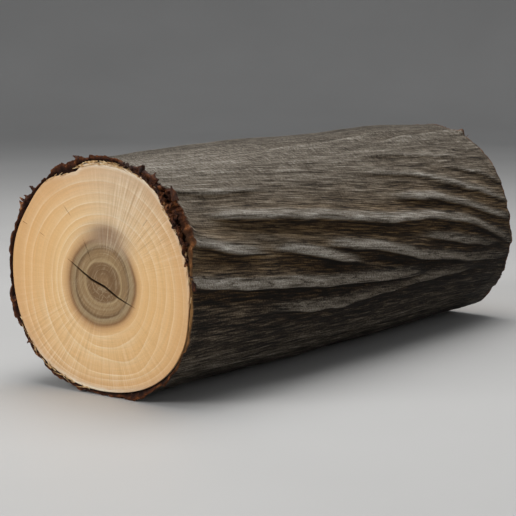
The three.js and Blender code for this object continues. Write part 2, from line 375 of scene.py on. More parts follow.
# Growth rings of the face, from the core outwards: the line of each as (angle round the pith, share
# of the way from pith to bark).
RING_LINES = [
    [(165, 0.19), (110, 0.155), (60, 0.16), (20, 0.19), (-30, 0.20), (-90, 0.21), (-150, 0.195)],
    [(140, 0.28), (90, 0.30), (40, 0.295), (-30, 0.298), (-60, 0.32), (-100, 0.35), (-140, 0.335),
     (180, 0.30)],
    [(140, 0.34), (90, 0.355), (40, 0.352), (0, 0.378), (-35, 0.362), (-60, 0.385), (-100, 0.41),
     (-140, 0.39), (180, 0.36)],
    [(180, 0.452), (150, 0.425), (125, 0.432), (85, 0.42), (50, 0.41), (20, 0.435), (0, 0.45),
     (-20, 0.435), (-60, 0.46), (-105, 0.51), (-140, 0.475)],
    [(180, 0.50), (150, 0.485), (120, 0.49), (85, 0.475), (50, 0.477), (20, 0.52), (0, 0.535),
     (-25, 0.525), (-60, 0.56), (-80, 0.60), (-100, 0.60), (-120, 0.56), (-140, 0.53)],
    [(180, 0.55), (150, 0.543), (118, 0.556), (62, 0.565), (40, 0.60), (15, 0.635),
     (0, 0.63), (-30, 0.61), (-45, 0.645), (-60, 0.72), (-70, 0.735), (-100, 0.675), (-140, 0.595)],
    [(180, 0.644), (141, 0.637), (115, 0.662), (60, 0.67), (35, 0.70), (15, 0.745), (0, 0.735),
     (-25, 0.70), (-50, 0.79), (-60, 0.85), (-100, 0.84), (-120, 0.79), (-140, 0.715), (-160, 0.67)],
    [(180, 0.775), (165, 0.78), (152, 0.76), (118, 0.737), (60, 0.75), (40, 0.765),
     (15, 0.81), (-28, 0.82), (-42, 0.875), (-60, 0.885), (-115, 0.885), (-150, 0.84)],
    [(180, 0.86), (140, 0.855), (118, 0.845), (55, 0.842), (40, 0.86), (25, 0.90),
     (0, 0.915), (-40, 0.945), (-100, 0.945), (-150, 0.90)],
]
RING_ROUNDING = 5  # degrees over which a line's corners are rounded


def ring_number(around, share):
    """Which ring each point lies in, counted from the pith: 1 on the first line, 2 on the second."""
    degrees = np.arange(360)
    round_off = bump(turned(degrees), RING_ROUNDING)
    number, inner = np.zeros_like(share), np.zeros_like(share)
    for line in RING_LINES + [[(0, 1.0)]]:
        angles, shares = np.array(line).T
        even = np.interp(degrees, angles % 360, shares, period=360)
        rounded = np.real(np.fft.ifft(np.fft.fft(even) * np.fft.fft(round_off))) / round_off.sum()
        outer = np.interp(around % 360, degrees, rounded, period=360)
        number += np.clip((share - inner) / (outer - inner), 0, 1)
        inner = outer
    return number


# Stretches of the face: angle, half their width, from and to which share of the way from pith to bark,
# and how strong they are. Rays show in some, short dark ticks in one, and the others are tinted.
FACE_SECTORS = {
    "rayed": [
        (68, 20, 0.26, 0.95, 1.0),
        (35, 18, 0.5, 1.0, 0.6),
        (-132, 26, 0.42, 1.0, 0.6),
        (-75, 30, 0.5, 1.0, 0.35),
    ],
    "ticked": [(45, 26, 0.56, 0.84, 1.0)],
    "washed": [(74, 34, 0.33, 1.2, 1.0)],
    # The honey on the left, at 170 degrees, is stronger so that it darkens that side: there it is partly
    # painted shade.
    "honey_and_shade": [(-20, 62, 0.42, 1.2, 1.0), (170, 50, 0.55, 1.2, 1.2)],
}
FAINT_RAYS = 0.1  # how strong the rays are on the rest of the face
# A haze over the top of the heart, and pale cracks in its lower half.
HAZY = {"angle": 84, "width": 32, "from": (0.26, 0.36), "to": (0.42, 0.54)}
CRAZED = {"angle": -100, "width": 62, "share": 0.14, "run": 0.09}
# Where inner bark has left pale fibres on the edge: angle, strength and width in degrees.
FRINGE = [(-105, 1.0, 36), (72, 1.4, 36), (10, 0.3, 22)]
FRINGE_FROM = (0.955, 0.98)


def in_sector(around, share, angle, width, inner, outer):
    begun = smoothstep(share, inner - 0.06, inner + 0.05)
    ended = smoothstep(share, outer - 0.1, outer + 0.05)
    return bump(turned(around - angle), width) * (begun * (1 - ended))


def add_face_masks(wood):
    """What the material reads at each point of the wood: its ring, its ray, and where it has a look."""
    points = points_of(wood)
    across, above = points[:, 0], points[:, 2] - AXIS_HEIGHT
    share = share_of(log_radius, across, above)
    edge_share = share_of(wood_radius, across, above)
    around = np.degrees(np.arctan2(above - PITH[1], across - PITH[0]))
    turn = np.radians(around)
    masks = {
        name: sum(strength * in_sector(around, share, *sector) for *sector, strength in sectors)
        for name, sectors in FACE_SECTORS.items()
    }
    masks["rayed"] = np.clip(FAINT_RAYS + masks["rayed"], 0, 1)
    haze = bump(turned(around - HAZY["angle"]), HAZY["width"]) * smoothstep(share, *HAZY["from"])
    masks["haze"] = haze * (1 - smoothstep(share, *HAZY["to"]))
    crazed = bump(turned(around - CRAZED["angle"]), CRAZED["width"])
    masks["crazed"] = crazed * bump(share - CRAZED["share"], CRAZED["run"])
    fringe = bumps(around, FRINGE) * smoothstep(edge_share, *FRINGE_FROM)
    masks["fringe"] = np.clip(fringe, 0, 1)
    masks["ring"] = ring_number(around, share) / (len(RING_LINES) + 1)
    masks["ray"] = np.stack([np.cos(turn), np.sin(turn), share], axis=1)
    for name, values in masks.items():
        add_attribute(wood, name, values)


def add_wood():
    rings = 2 * FACE_RINGS + SIDE_RINGS
    bpy.ops.object.select_all(action="DESELECT")
    bpy.ops.mesh.primitive_uv_sphere_add(segments=WOOD_SIDES, ring_count=rings, radius=1)
    wood = bpy.context.object
    wood.name = "log_wood"
    ball = points_of(wood)
    angle = np.degrees(np.arctan2(ball[:, 1], ball[:, 0]))
    ring = np.round(np.arccos(np.clip(ball[:, 2], -1, 1)) / math.pi * rings)
    from_face = np.minimum(ring, rings - ring)  # rings from the middle of the nearer face
    share = np.clip(from_face / (FACE_RINGS - 1), 0, 1)
    share = np.where(from_face == FACE_RINGS - 1, 1 - SAWN_EDGE / LOG_RADIUS, share)
    along = np.interp(ring, [FACE_RINGS, FACE_RINGS + SIDE_RINGS], [FRONT + SAWN_EDGE, BACK - SAWN_EDGE])
    along = np.where(ring < FACE_RINGS, FRONT, np.where(ring > rings - FACE_RINGS, BACK, along))
    edge = wood_radius(angle) * np.array([np.cos(np.radians(angle)), np.sin(np.radians(angle))])
    across, above = PITH[:, None] + share * (edge - PITH[:, None])
    move_points(wood, on_log(across, along, above))

    splits = [add_split(FRONT_CRACK, FRONT, **CRACK), add_split(BACK_CRACK, BACK, **CRACK)]
    splits += [add_split(line, FRONT, **CHECK) for line in FRONT_CHECKS]
    splits += [add_split(line, BACK, **CHECK) for line in BACK_CHECKS]
    splits = joined(splits, "splits")
    apply_modifier(wood, "BOOLEAN", operation="DIFFERENCE", object=splits, solver="EXACT")
    bpy.data.objects.remove(splits)

    add_face_masks(wood)
    smooth_shaded(wood, 30)
    return wood


# Colours at the ring lines, from the pith to the bark.
FACE_TONES = [
    (0.00, srgb(140, 110, 74)),
    (0.05, srgb(118, 88, 55)),
    (0.095, srgb(122, 92, 58)),
    (0.107, srgb(174, 148, 108)),
    (0.125, srgb(148, 120, 82)),
    (0.17, srgb(146, 117, 80)),
    (0.195, srgb(108, 80, 48)),
    (0.212, srgb(160, 137, 102)),
    (0.262, srgb(154, 127, 90)),
    (0.295, srgb(130, 92, 54)),
    (0.33, srgb(196, 153, 104)),
    (0.37, srgb(216, 174, 122)),
    (0.40, srgb(230, 192, 140)),
    (0.55, srgb(234, 194, 138)),
    (0.75, srgb(233, 194, 142)),
    (0.90, srgb(222, 178, 128)),
    (0.985, srgb(212, 168, 122)),
    (1.00, srgb(186, 136, 92)),
]
PALE_LINE = srgb(248, 228, 192)
LATE_WOOD = srgb(212, 158, 96)
RAY_FLECK = srgb(246, 228, 200)
RAY_SHADE = srgb(166, 124, 84)
WASHED_WOOD = srgb(212, 192, 164)
HAZE = srgb(152, 124, 96)
HONEY_AND_SHADE = srgb(226, 176, 112)
FIBRE_WHITE = srgb(242, 228, 204)
ARC_WHITE = srgb(200, 182, 148)
HEART_SHADE = srgb(92, 68, 42)
PAINTED_CRACK_SHADE = srgb(34, 20, 10)


def attribute(tree, name, output="Fac"):
    return add_node(tree, "Attribute", attribute_name=name).outputs[output]


def centred(tree, value, gain):
    """A noise from 0 to 1, moved to lie round 0 and made stronger."""
    return maths(tree, "MULTIPLY", maths(tree, "SUBTRACT", value, 0.5), gain)


def product(tree, *values):
    """The product of two or more values."""
    result = values[0]
    for value in values[1:]:
        result = maths(tree, "MULTIPLY", result, value)
    return result


def grey(level):
    return (level, level, level, 1.0)


def raised(tree, value, gain, base):
    """A value made stronger by a gain, and raised by a base."""
    return maths(tree, "MULTIPLY_ADD", value, gain, base)


def ranged(tree, value, low, high, first=0.0, last=1.0):
    """A value brought from the range low to high to the range first to last, and kept in it."""
    return add_node(tree, "MapRange", {0: value, 1: low, 2: high, 3: first, 4: last}).outputs[0]


def plus(tree, total, value, gain):
    """A total with one more value added to it, made stronger by a gain."""
    return maths(tree, "ADD", total, maths(tree, "MULTIPLY", value, gain))


def stretched(tree, vector, scale):
    return add_node(tree, "Mapping", {"Vector": vector, "Scale": scale}).outputs[0]


def slanted(tree, vector, rotation, scale):
    """A vector turned and drawn out, so that a noise on it makes slanting lines."""
    sockets = {"Vector": vector, "Rotation": rotation, "Scale": scale}
    return add_node(tree, "Mapping", sockets, vector_type="TEXTURE").outputs[0]


def face_noise(tree, vector, around, outwards, detail, scale=1.0):
    """Noise over the face. It is finer round the pith, or on the way outwards, the larger its number."""
    return noise(tree, stretched(tree, vector, (around, around, outwards)), scale=scale, detail=detail)


def clamped(tree, value):
    return add_node(tree, "Clamp", {0: value}).outputs[0]


def wood_material():
    material, tree, shader = new_material("sawn wood")
    place = object_place(tree)
    ray = attribute(tree, "ray", "Vector")
    sway = centred(tree, noise(tree, place, scale=60.0, detail=3.0), 0.012)
    ring = maths(tree, "ADD", attribute(tree, "ring"), sway)
    colour = ramp(tree, ring, FACE_TONES)

    # In each ring the wood darkens outwards to the next pale line.
    count = float(len(RING_LINES) + 1)
    within = maths(tree, "FRACT", maths(tree, "MULTIPLY", ring, count))
    outside_heart = ranged(tree, ring, 0.36, 0.42)
    patchy = face_noise(tree, ray, 1.2, 5.0, detail=2.0, scale=1.6)
    patchy = maths(tree, "MULTIPLY", raised(tree, patchy, 1.7, -0.25), outside_heart)
    pale = ramp(tree, within, [(0.0, grey(0.9)), (0.05, grey(1)), (0.16, grey(0.3)), (0.5, grey(0)),
                               (0.985, grey(0)), (1.0, grey(0.9))])
    late = ramp(tree, within, [(0.3, grey(0)), (0.8, grey(0.55)), (0.97, grey(1)), (1.0, grey(0))])
    colour = mixed(tree, clamped(tree, product(tree, pale, patchy, 0.8)), colour, PALE_LINE)
    colour = mixed(tree, clamped(tree, product(tree, late, patchy, 0.5)), colour, LATE_WOOD)

    # Large tints: washed-out wood above the heart, a haze over its top, and honey on both sides, on the
    # left also painted shade.
    colour = mixed(tree, product(tree, attribute(tree, "washed"), 0.6), colour, WASHED_WOOD)
    colour = mixed(tree, clamped(tree, product(tree, attribute(tree, "haze"), 1.1)), colour, HAZE)
    colour = mixed(tree, product(tree, attribute(tree, "honey_and_shade"), 0.45), colour, HONEY_AND_SHADE)

    # The heart: fine lines round the pith, scratches of the saw, and pale cracks in its lower half.
    in_heart = ranged(tree, ring, 0.34, 0.24)
    fine_rings = centred(tree, face_noise(tree, ray, 0.6, 60.0, detail=2.0), 2.0)
    across_saw = slanted(tree, place, (0, 0.62, 0), (1, 1, 9))
    scratches = centred(tree, noise(tree, across_saw, scale=1000.0, detail=2.0), 2.0)
    cells = add_node(tree, "TexVoronoi", {"Vector": place, "Scale": 260.0, "Randomness": 1.0},
                     feature="DISTANCE_TO_EDGE").outputs["Distance"]
    cells = ranged(tree, cells, 0.0, 0.09, 1.0, 0.0)
    marks = plus(tree, fine_rings, scratches, 0.8)
    marks = maths(tree, "ADD", marks, product(tree, attribute(tree, "crazed"), cells, 0.7))
    marks = maths(tree, "MULTIPLY", marks, in_heart)
    colour = mixed(tree, clamped(tree, product(tree, marks, 0.5)), colour, ARC_WHITE)
    colour = mixed(tree, clamped(tree, product(tree, marks, -0.5)), colour, HEART_SHADE)

    # Rays: fine flecks along the radius, and short dark ticks inside some rings.
    rayed = attribute(tree, "rayed")
    fine = centred(tree, face_noise(tree, ray, 64.0, 2.2, detail=2.0), 1.0)
    broad = centred(tree, face_noise(tree, ray, 24.0, 5.0, detail=3.0), 1.0)
    streak = maths(tree, "MULTIPLY", maths(tree, "ADD", fine, product(tree, broad, 0.5)), rayed)
    colour = mixed(tree, clamped(tree, product(tree, streak, 2.0)), colour, RAY_FLECK)
    colour = mixed(tree, clamped(tree, product(tree, streak, -1.8)), colour, RAY_SHADE)
    directions = add_node(tree, "SeparateXYZ", {0: ray})
    number = maths(tree, "MULTIPLY", maths(tree, "FLOOR", maths(tree, "MULTIPLY", ring, count)), 7.3)
    sockets = {0: directions.outputs[0], 1: directions.outputs[1], 2: number}
    by_ring = add_node(tree, "CombineXYZ", sockets).outputs[0]
    ticks = ranged(tree, face_noise(tree, by_ring, 46.0, 1.0, detail=1.0), 0.60, 0.72)
    colour = mixed(tree, product(tree, attribute(tree, "ticked"), ticks, 0.55), colour, RAY_SHADE)

    # Pale fibres left by the inner bark, right at the edge.
    strands = clamped(tree, raised(tree, face_noise(tree, ray, 12.0, 90.0, detail=3.0), 3.0, -0.6))
    colour = mixed(tree, product(tree, attribute(tree, "fringe"), strands), colour, FIBRE_WHITE)

    # Fine lines inside the rings, pores and saw marks.
    lines = centred(tree, face_noise(tree, ray, 1.3, 70.0, detail=3.0), 0.22)
    grain = noise(tree, place, scale=900.0, detail=3.0, roughness=0.6)
    saw = noise(tree, stretched(tree, place, (1.0, 1.0, 9.0)), scale=150.0, detail=2.0)
    shade = maths(tree, "ADD", lines, centred(tree, grain, 0.16))
    shade = maths(tree, "ADD", shade, centred(tree, saw, 0.05))
    shade = maths(tree, "ADD", shade, 1.0)
    shade = add_node(tree, "CombineColor", {0: shade, 1: shade, 2: shade}).outputs[0]
    colour = mixed(tree, 1.0, colour, shade, "MULTIPLY")

    # The cracks are painted dark inside, as shade.
    along = maths(tree, "ABSOLUTE", add_node(tree, "SeparateXYZ", {0: place}).outputs[1])
    inside = ranged(tree, along, LENGTH / 2 - 0.0004, LENGTH / 2 - 0.0018)
    colour = mixed(tree, inside, colour, PAINTED_CRACK_SHADE)
    tree.links.new(colour, shader.inputs["Base Color"])

    # Only the rays, the pores and the saw marks stand up, by a fraction of a millimetre.
    tree.links.new(raised(tree, grain, 0.2, 0.5), shader.inputs["Roughness"])
    height = maths(tree, "ADD", product(tree, streak, 0.8), raised(tree, grain, 0.5, saw))
    normal = add_node(tree, "Bump", {"Height": height, "Distance": 0.00025, "Strength": 0.5}).outputs[0]
    tree.links.new(normal, shader.inputs["Normal"])
    shader.inputs["Specular IOR Level"].default_value = 0.3
    return material


SAWN_WOOD = wood_material()
finish(add_wood(), SAWN_WOOD, "wood")


# Bark
# The grey coat of the log: weathered fibres that run along it, long ridges that are steep on one
# side, and a torn rim at each end where the saw broke it. It is one closed shell, a grid rolled up
# both ways, and its points stand out by the bark's own relief.
bark_low, bark_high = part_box("bark")
BARK_SIDES = 640
CROWDED = {"angle": 5, "share": 0.3}  # where the columns stand closer, and by how much
RIM_LENGTH = 0.009
RIM_ROWS = 9  # close rows over the torn stretch at each end
FLANK_ROWS = 106
END_STEPS = 11  # over the torn end, from the outside to the wood
BARK_RADIUS = 0.078  # of the round that the grain's noises lie on

# How thick the bark is between its ridges: all round, more on one side, more or less in two places
# given as angle, height and width in degrees, and swelling towards the back end.
BARK_THICKNESS = 0.0019
BARK_LEAN = 0.001
BARK_THICK_SIDE = 140
UNEVEN_COVER = [(-120, -0.0009, 14), (-66, 0.0018, 26)]
BUTT_SWELL = 0.0042
SWELL_RUN = 0.17
PRESSED = {"share": 0.75, "angle": -75, "width": 35}
SWELLING = {"height": 0.003, "length": 0.34, "run": 0.06, "angle": 97, "width": 24}
INNER_GAP = 0.00005  # between the bark and the wood
LEAST_COVER = 0.0004

# How the grain turns round the log on its way, and the band where it runs nearly straight.
GRAIN = {"sink": 34, "band": -38, "width": 22, "straight": 0.9}

# Ridges of the side that shows: height, which way the steep side faces, and the line as (length, angle).
SHOWN_RIDGES = [
    (0.0042, 1, [(0.02, 32), (0.1, 25), (0.16, 20), (0.215, 15), (0.29, 12), (0.34, 5), (0.4, -10),
                 (0.43, -17)]),
    (0.0030, 1, [(-0.03, 21.5), (0.02, 17), (0.045, 12.5), (0.085, 8)]),
    (0.0034, 1, [(0.075, 12), (0.11, 6.5), (0.15, 0.5), (0.195, -5)]),
    (0.0044, 1, [(0.13, 9), (0.2, 1.5), (0.25, -6), (0.3, -11), (0.36, -16), (0.42, -19.5)]),
    (0.0032, 1, [(0.255, 5), (0.3, -1), (0.345, -6.5), (0.395, -8)]),
    (0.0036, 1, [(-0.025, 3), (0.03, -3), (0.1, -8.2), (0.16, -11.8), (0.22, -13.8), (0.275, -15)]),
    (0.0035, 1, [(0.07, -18.5), (0.14, -21.5), (0.2, -21), (0.25, -19), (0.36, -21)]),
    (0.0032, 1, [(0.225, 26), (0.3, 21.5), (0.345, 14), (0.41, 2), (0.445, -4.5)]),
    (0.0026, 1, [(0.285, 33), (0.33, 28), (0.375, 20), (0.41, 12), (0.445, 4.5)]),
    (0.0022, 1, [(0.31, 42), (0.35, 37), (0.38, 31), (0.41, 23), (0.445, 14)]),
    (0.0016, 1, [(0.2, 43), (0.26, 39), (0.33, 30)]),
    (0.0012, 1, [(0.215, 54), (0.3, 50), (0.38, 43)]),
    (0.0014, 1, [(-0.03, 51), (0.03, 44), (0.11, 40)]),
    (0.0012, -1, [(0.12, 69), (0.23, 72), (0.32, 82)]),
    (0.0024, -1, [(0.255, 65), (0.34, 69), (0.415, 74), (0.445, 76)]),
]
HIDDEN = {"count": 25, "seed": 11, "first": 100, "last": 324, "overrun": 0.03}
HIDDEN_HEIGHT = {"low": 0.001, "high": 0.0034, "flank": 186, "spread": 44}

# The section of a ridge: a crest that falls away slowly on one side and steeply on the other, with a
# round edge along it and a trough behind. It wanders and swells a little on its way.
CREST_WIDTH = 0.0075
STEEP_WIDTH = 0.0009
CREST_INSET = 0.0014
OVERHANG = {"reach": 0.0009, "width": 0.002}  # how far a crest leans out over its steep side
LIP = {"share": 0.22, "inset": 0.0008, "width": 0.0017}
TROUGH = {"offset": -0.006, "width": 0.005, "share": 0.18}
WANDER = {"reach": 0.0007, "run": 0.017, "seed": 100}
UNEVEN = {"share": 0.14, "run": 0.03, "seed": 200}
FADE = 0.045  # the length over which a ridge rises and sinks at its ends
WORN = {"share": 0.5, "from": 0.25}  # how much lower the ridges get towards the back end
WORN_END = {"share": 0.4, "run": 0.03}  # and lower again right before it

# A ridge is painted lighter at some distances from its crest, partly bleaching and partly a painted
# highlight, and painted darker as shade at others from its steep side, given as (distance, share,
# width). Between two angles the painted crest highlight is duller.
FULL_HEIGHT = 0.0036  # from which a ridge has its whole look
CREST_BLEACH_AND_HIGHLIGHT = {"from": (-0.0012, 0), "to": (0.0025, 0.0070)}
SHADED_UNDER_CRESTS = [(-0.0006, 1.0, 0.0009), (-0.004, 0.25, 0.004)]
DULL = {"share": 0.6, "from": (4, 26), "to": (110, 140)}

# The torn rims: teeth at even steps, stretches where the edge is clean as (angle, share, width in
# degrees), and one flap on the back.
TEETH = {"sides": 132, "tip": (0.3, 2.2), "notch": (-0.5, 0.4), "past": 1.1, "root": 0.006}
TEETH_BLEND = (0.45, 0.3, 0.25)  # each tooth, the one before it and the one after it
TEETH_TAPER = 1.4
FRONT_RIM = {"seed": 5, "clean": [(-20, 0.8, 40), (-118, 0.6, 14), (160, 0.6, 40)], "flap": 0.0}
BACK_RIM = {"seed": 17, "clean": [(20, 0.75, 75)], "flap": 0.0034}
FLAP = {"angle": 66.5, "width": 2.0}
SHAGGY = {"angle": 48, "width": 22, "least": 0.4, "more": 2.4}  # where the front rim is torn most

# Where the front rim is peeled outwards, as (angle, height), and over which length it sinks back.
COLLAR = [(6, 0), (12, 0.0028), (19, 0.0056), (27, 0.0078), (36, 0.0076), (44, 0.0062), (51, 0.0022),
          (60, 0)]
COLLAR_RUN = 0.009
# Where the front rim is thin: angle, depth and width in degrees, and over which length it thickens.
DRAWN_IN = [(152, 0.0025, 18), (126, 0.0028, 13)]
DRAWN_IN_RUN = 0.012
# The torn end between the outside and the wood: a raised lip, then a groove next to the wood.
END_WIDTH = 0.012
LIP_HEIGHT = 0.0004
GROOVE = 0.0022

# Small relief made of noise: width round the log and length along it of its cells, seed, and how many
# sizes of cell lie inside one another. Then how high it stands.
FOLDS = (0.009, 0.07, 31, 3)
FIBRES = (0.0036, 0.024, 41, 2)
RAGS = (0.0032, 0.003, 61, 2)
CREEP = (0.004, 0.004, 71, 2)
KNOBS = (0.008, 0.05, 81, 1)
CRUMBS = (0.0017, 0.0016, 91, 2)
FOLD_HEIGHT = 0.0006
FIBRE_HEIGHT = 0.00034
RAG_HEIGHT = {"out": 0.00045, "past": 0.0006}
KNOB_HEIGHT = 0.0016
CRUMB_HEIGHT = 0.0007

# The top of the log, where the relief is flatter and the bark is bleached.
TOP = {"angle": 82, "width": 42, "fold_loss": 0.55, "fibre_loss": 0.5}
# What counts as its surroundings when a point is called proud, and how high a full measure stands.
PROUD = {"rounds": 100, "height": 0.0011}
TORN_EDGE = {"least": 0.0008, "more": 0.0035}  # how far the torn look creeps over the outside
# Painted shade and dirt: the side that faces down is painted darker as shade, though less right below.
# There is dirt in one band near the top, as (angle, share, width in degrees), and all of it is darker
# towards the back. Another band is swept clean near the front.
SHADE_AND_DIRT = {"from": (-0.45, 0.60), "less": 0.38, "below": (0.3, 0.65), "back": (0.25, 0.15)}
DUST = (96, 0.40, 24)
SWEPT = (69, 0.3, 15)
SWEPT_RUN = (0.03, 0.17)
# The brown valleys between the ridges of the right flank, and the yellowed stretch of the front rim.
VALLEYS = {"angle": 4, "width": 32, "level": 0.62, "proud": 0.5, "crest_bleach_and_highlight": 1.3}
YELLOWED = {"angle": -8, "width": 20}


def seeded_draws(seed):
    """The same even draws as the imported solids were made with."""
    state = seed

    def draw(low, high):
        nonlocal state
        state = (state * 48271) % 2147483647
        return low + (high - low) * state / 2147483647

    return draw


def grain_turn(angle, length):
    free = 1 - GRAIN["straight"] * bump(turned(angle - GRAIN["band"]), GRAIN["width"])
    return -GRAIN["sink"] * np.cos(np.radians(angle)) * free * (length / LENGTH - 0.5)


def hidden_ridges():
    """The ridges of the far side: they turn with the grain, and are highest on the flank."""
    draw = seeded_draws(HIDDEN["seed"])
    ridges = []
    for i in range(HIDDEN["count"]):
        place = (i + draw(0.1, 0.9)) / HIDDEN["count"]
        middle = HIDDEN["first"] + (HIDDEN["last"] - HIDDEN["first"]) * place
        length = draw(0.15, 0.4)
        start = draw(-HIDDEN["overrun"], LENGTH + HIDDEN["overrun"] - length)
        turn = (grain_turn(middle, length) - grain_turn(middle, 0)) * draw(0.85, 1.1)
        bend = 3 * math.sin(math.radians(4 * middle)) + draw(-1, 1)
        more = HIDDEN_HEIGHT["high"] * bump(middle - HIDDEN_HEIGHT["flank"], HIDDEN_HEIGHT["spread"])
        height = (HIDDEN_HEIGHT["low"] + more) * draw(0.7, 1.1)
        line = [
            (start + (share + 0.5) * length, middle + turn * share + bend * math.cos(math.pi * share))
            for share in (-0.5, -0.17, 0.17, 0.5)
        ]
        ridges.append((height, -1 if middle < 270 else 1, line))
    return ridges


def curve_through(points, lengths):
    """The smooth curve through the points of a ridge, at the lengths asked for."""
    starts, angles = np.array(points, float).T
    slopes = np.gradient(angles, starts)
    k = np.clip(np.searchsorted(starts, lengths) - 1, 0, len(starts) - 2)
    step = starts[k + 1] - starts[k]
    p = np.clip((lengths - starts[k]) / step, 0, 1)
    ends = (1 + 2 * p) * (1 - p) ** 2 * angles[k] + p * p * (3 - 2 * p) * angles[k + 1]
    return ends + step * (p * (1 - p) ** 2 * slopes[k] - p * p * (1 - p) * slopes[k + 1])


def smooth_noise(around, along, cells, seed):
    """A smooth random field from -1 to 1. around counts cells, and the last one meets the first."""
    i, j = np.floor(around).astype(int), np.floor(along).astype(int)
    lattice = np.random.default_rng(seed).uniform(-1, 1, (cells, j.max() + 2))
    u, v = around - i, along - j
    u, v = u * u * (3 - 2 * u), v * v * (3 - 2 * v)
    i, i_next, j_next = i % cells, (i + 1) % cells, j + 1
    near = lattice[i, j] * (1 - u) + lattice[i_next, j] * u
    far = lattice[i, j_next] * (1 - u) + lattice[i_next, j_next] * u
    return near * (1 - v) + far * v


def grain_noise(side, length, wide, long, seed, octaves):
    """Noise with cells of a given width round the log and length along it, with finer ones inside."""
    total, weight = 0, 1
    for octave in range(octaves):
        cells = int(round(2 * math.pi * BARK_RADIUS / wide * 2**octave))
        field = smooth_noise(side / 360 * cells, length / long * 1.6**octave, cells, seed + octave)
        total, weight = total + weight * field, weight * 0.55
    return total


def wave_along(length, run, seed):
    """A smooth wave along the log, from -1 to 1, the same all round it."""
    return smooth_noise(np.zeros_like(length), (length + 0.05) / run, 1, seed)


def ridge_relief(angle, length):
    """What the ridges do at each point: height, lean round the log, and, from 0 to 1, the crest's bleach
    and painted highlight, and the painted shade under it.
    """
    height, lean, crest_bleach_and_highlight, painted_shade_and_brown = np.zeros((4, len(angle)))
    for number, (top, steep, line) in enumerate(SHOWN_RIDGES + hidden_ridges()):
        start, end = line[0][0], line[-1][0]
        share = smoothstep(length, start, start + FADE) * (1 - smoothstep(length, end - FADE, end))
        share = share * (1 - WORN["share"] * smoothstep(length, WORN["from"], LENGTH))
        share = share * (1 - WORN_END["share"] * smoothstep(length, LENGTH - WORN_END["run"], LENGTH))
        wander = WANDER["reach"] * wave_along(length, WANDER["run"], WANDER["seed"] + number)
        uneven = 1 + UNEVEN["share"] * wave_along(length, UNEVEN["run"], UNEVEN["seed"] + number)
        offset = steep * np.radians(turned(angle - curve_through(line, length))) * LOG_RADIUS + wander
        crest = offset - CREST_INSET
        rise = bump(crest, np.where(crest > 0, CREST_WIDTH, STEEP_WIDTH))
        rise = rise + LIP["share"] * bump(crest - LIP["inset"], LIP["width"])
        trough = bump(offset - TROUGH["offset"], TROUGH["width"])
        height += share * uneven * top * (rise - TROUGH["share"] * trough)
        strong = share * min(top / FULL_HEIGHT, 1)
        lean -= steep * OVERHANG["reach"] * strong * bump(crest, OVERHANG["width"])
        # Where the crest is painted lighter, partly bleaching and partly a painted highlight, and below
        # it painted shade.
        lit = smoothstep(crest, *CREST_BLEACH_AND_HIGHLIGHT["from"]) * (1 - smoothstep(crest, *CREST_BLEACH_AND_HIGHLIGHT["to"]))
        crest_bleach_and_highlight = np.maximum(crest_bleach_and_highlight, strong * lit)
        under = sum(part * bump(offset - away, width) for away, part, width in SHADED_UNDER_CRESTS)
        painted_shade_and_brown = np.maximum(painted_shade_and_brown, strong * under)
    over = turned(angle)
    dull = DULL["share"] * smoothstep(over, *DULL["from"]) * (1 - smoothstep(over, *DULL["to"]))
    return height, lean, crest_bleach_and_highlight * (1 - dull), np.clip(painted_shade_and_brown, 0, 1)


def bark_cover(angle, length):
    """How thick the bark is over the log's section, apart from its relief."""
    thickness = BARK_THICKNESS + BARK_LEAN * np.cos(np.radians(angle - BARK_THICK_SIDE))
    thickness += bumps(angle, UNEVEN_COVER)
    pressed = 1 - PRESSED["share"] * bump(turned(angle - PRESSED["angle"]), PRESSED["width"])
    swelling = SWELLING["height"] * bump(length - SWELLING["length"], SWELLING["run"])
    swelling = swelling * bump(turned(angle - SWELLING["angle"]), SWELLING["width"])
    return thickness + BUTT_SWELL * pressed * smoothstep(length, 0, SWELL_RUN) + swelling


def rim_teeth(rim, side, angle):
    """How far the torn rim stands out and past the face, and how torn it is, at each side."""
    draw = seeded_draws(rim["seed"])
    teeth = np.array([
        (draw(*(TEETH["tip"] if i % 2 == 0 else TEETH["notch"])), draw(-TEETH["past"], TEETH["past"]))
        for i in range(TEETH["sides"])
    ]) / 1000
    place = side % 360 * TEETH["sides"] / 360
    i = np.floor(place).astype(int) % TEETH["sides"]
    part = smoothstep(place - np.floor(place), 0, 1)[:, None]
    teeth = sum(part * np.roll(teeth, step, 0) for part, step in zip(TEETH_BLEND, (0, 1, -1)))
    out, past = (teeth[i] * (1 - part) + teeth[(i + 1) % TEETH["sides"]] * part).T
    torn = 1 - bumps(angle, rim["clean"])
    flap = rim["flap"] * bump(turned(angle - FLAP["angle"]), FLAP["width"])
    return out * torn + flap, past * torn, torn


def keep_inside(piece):
    """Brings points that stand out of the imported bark's box back to it."""
    move_points(piece, np.clip(points_of(piece), np.array(bark_low) + 1e-5, np.array(bark_high) - 1e-5))


def rolled_grid(around, across):
    """A grid rolled up both ways into a closed shell, with the column and the row of each point."""
    bpy.ops.object.select_all(action="DESELECT")
    bpy.ops.mesh.primitive_grid_add(x_subdivisions=around, y_subdivisions=across, size=2)
    shell = bpy.context.object
    flat = points_of(shell)
    turn, roll = (flat[:, 0] + 1) * math.pi, (flat[:, 1] + 1) * math.pi
    out = 2 + np.cos(roll)
    move_points(shell, np.stack([out * np.cos(turn), out * np.sin(turn), np.sin(roll)], axis=1))
    edit_all()
    bpy.ops.mesh.remove_doubles(threshold=1e-4)
    bpy.ops.object.mode_set(mode="OBJECT")
    x, y, z = points_of(shell).T
    column = np.round(np.arctan2(y, x) / (2 * math.pi) * around).astype(int) % around
    row = np.round(np.arctan2(z, np.hypot(x, y) - 2) / (2 * math.pi) * across).astype(int) % across
    return shell, column, row


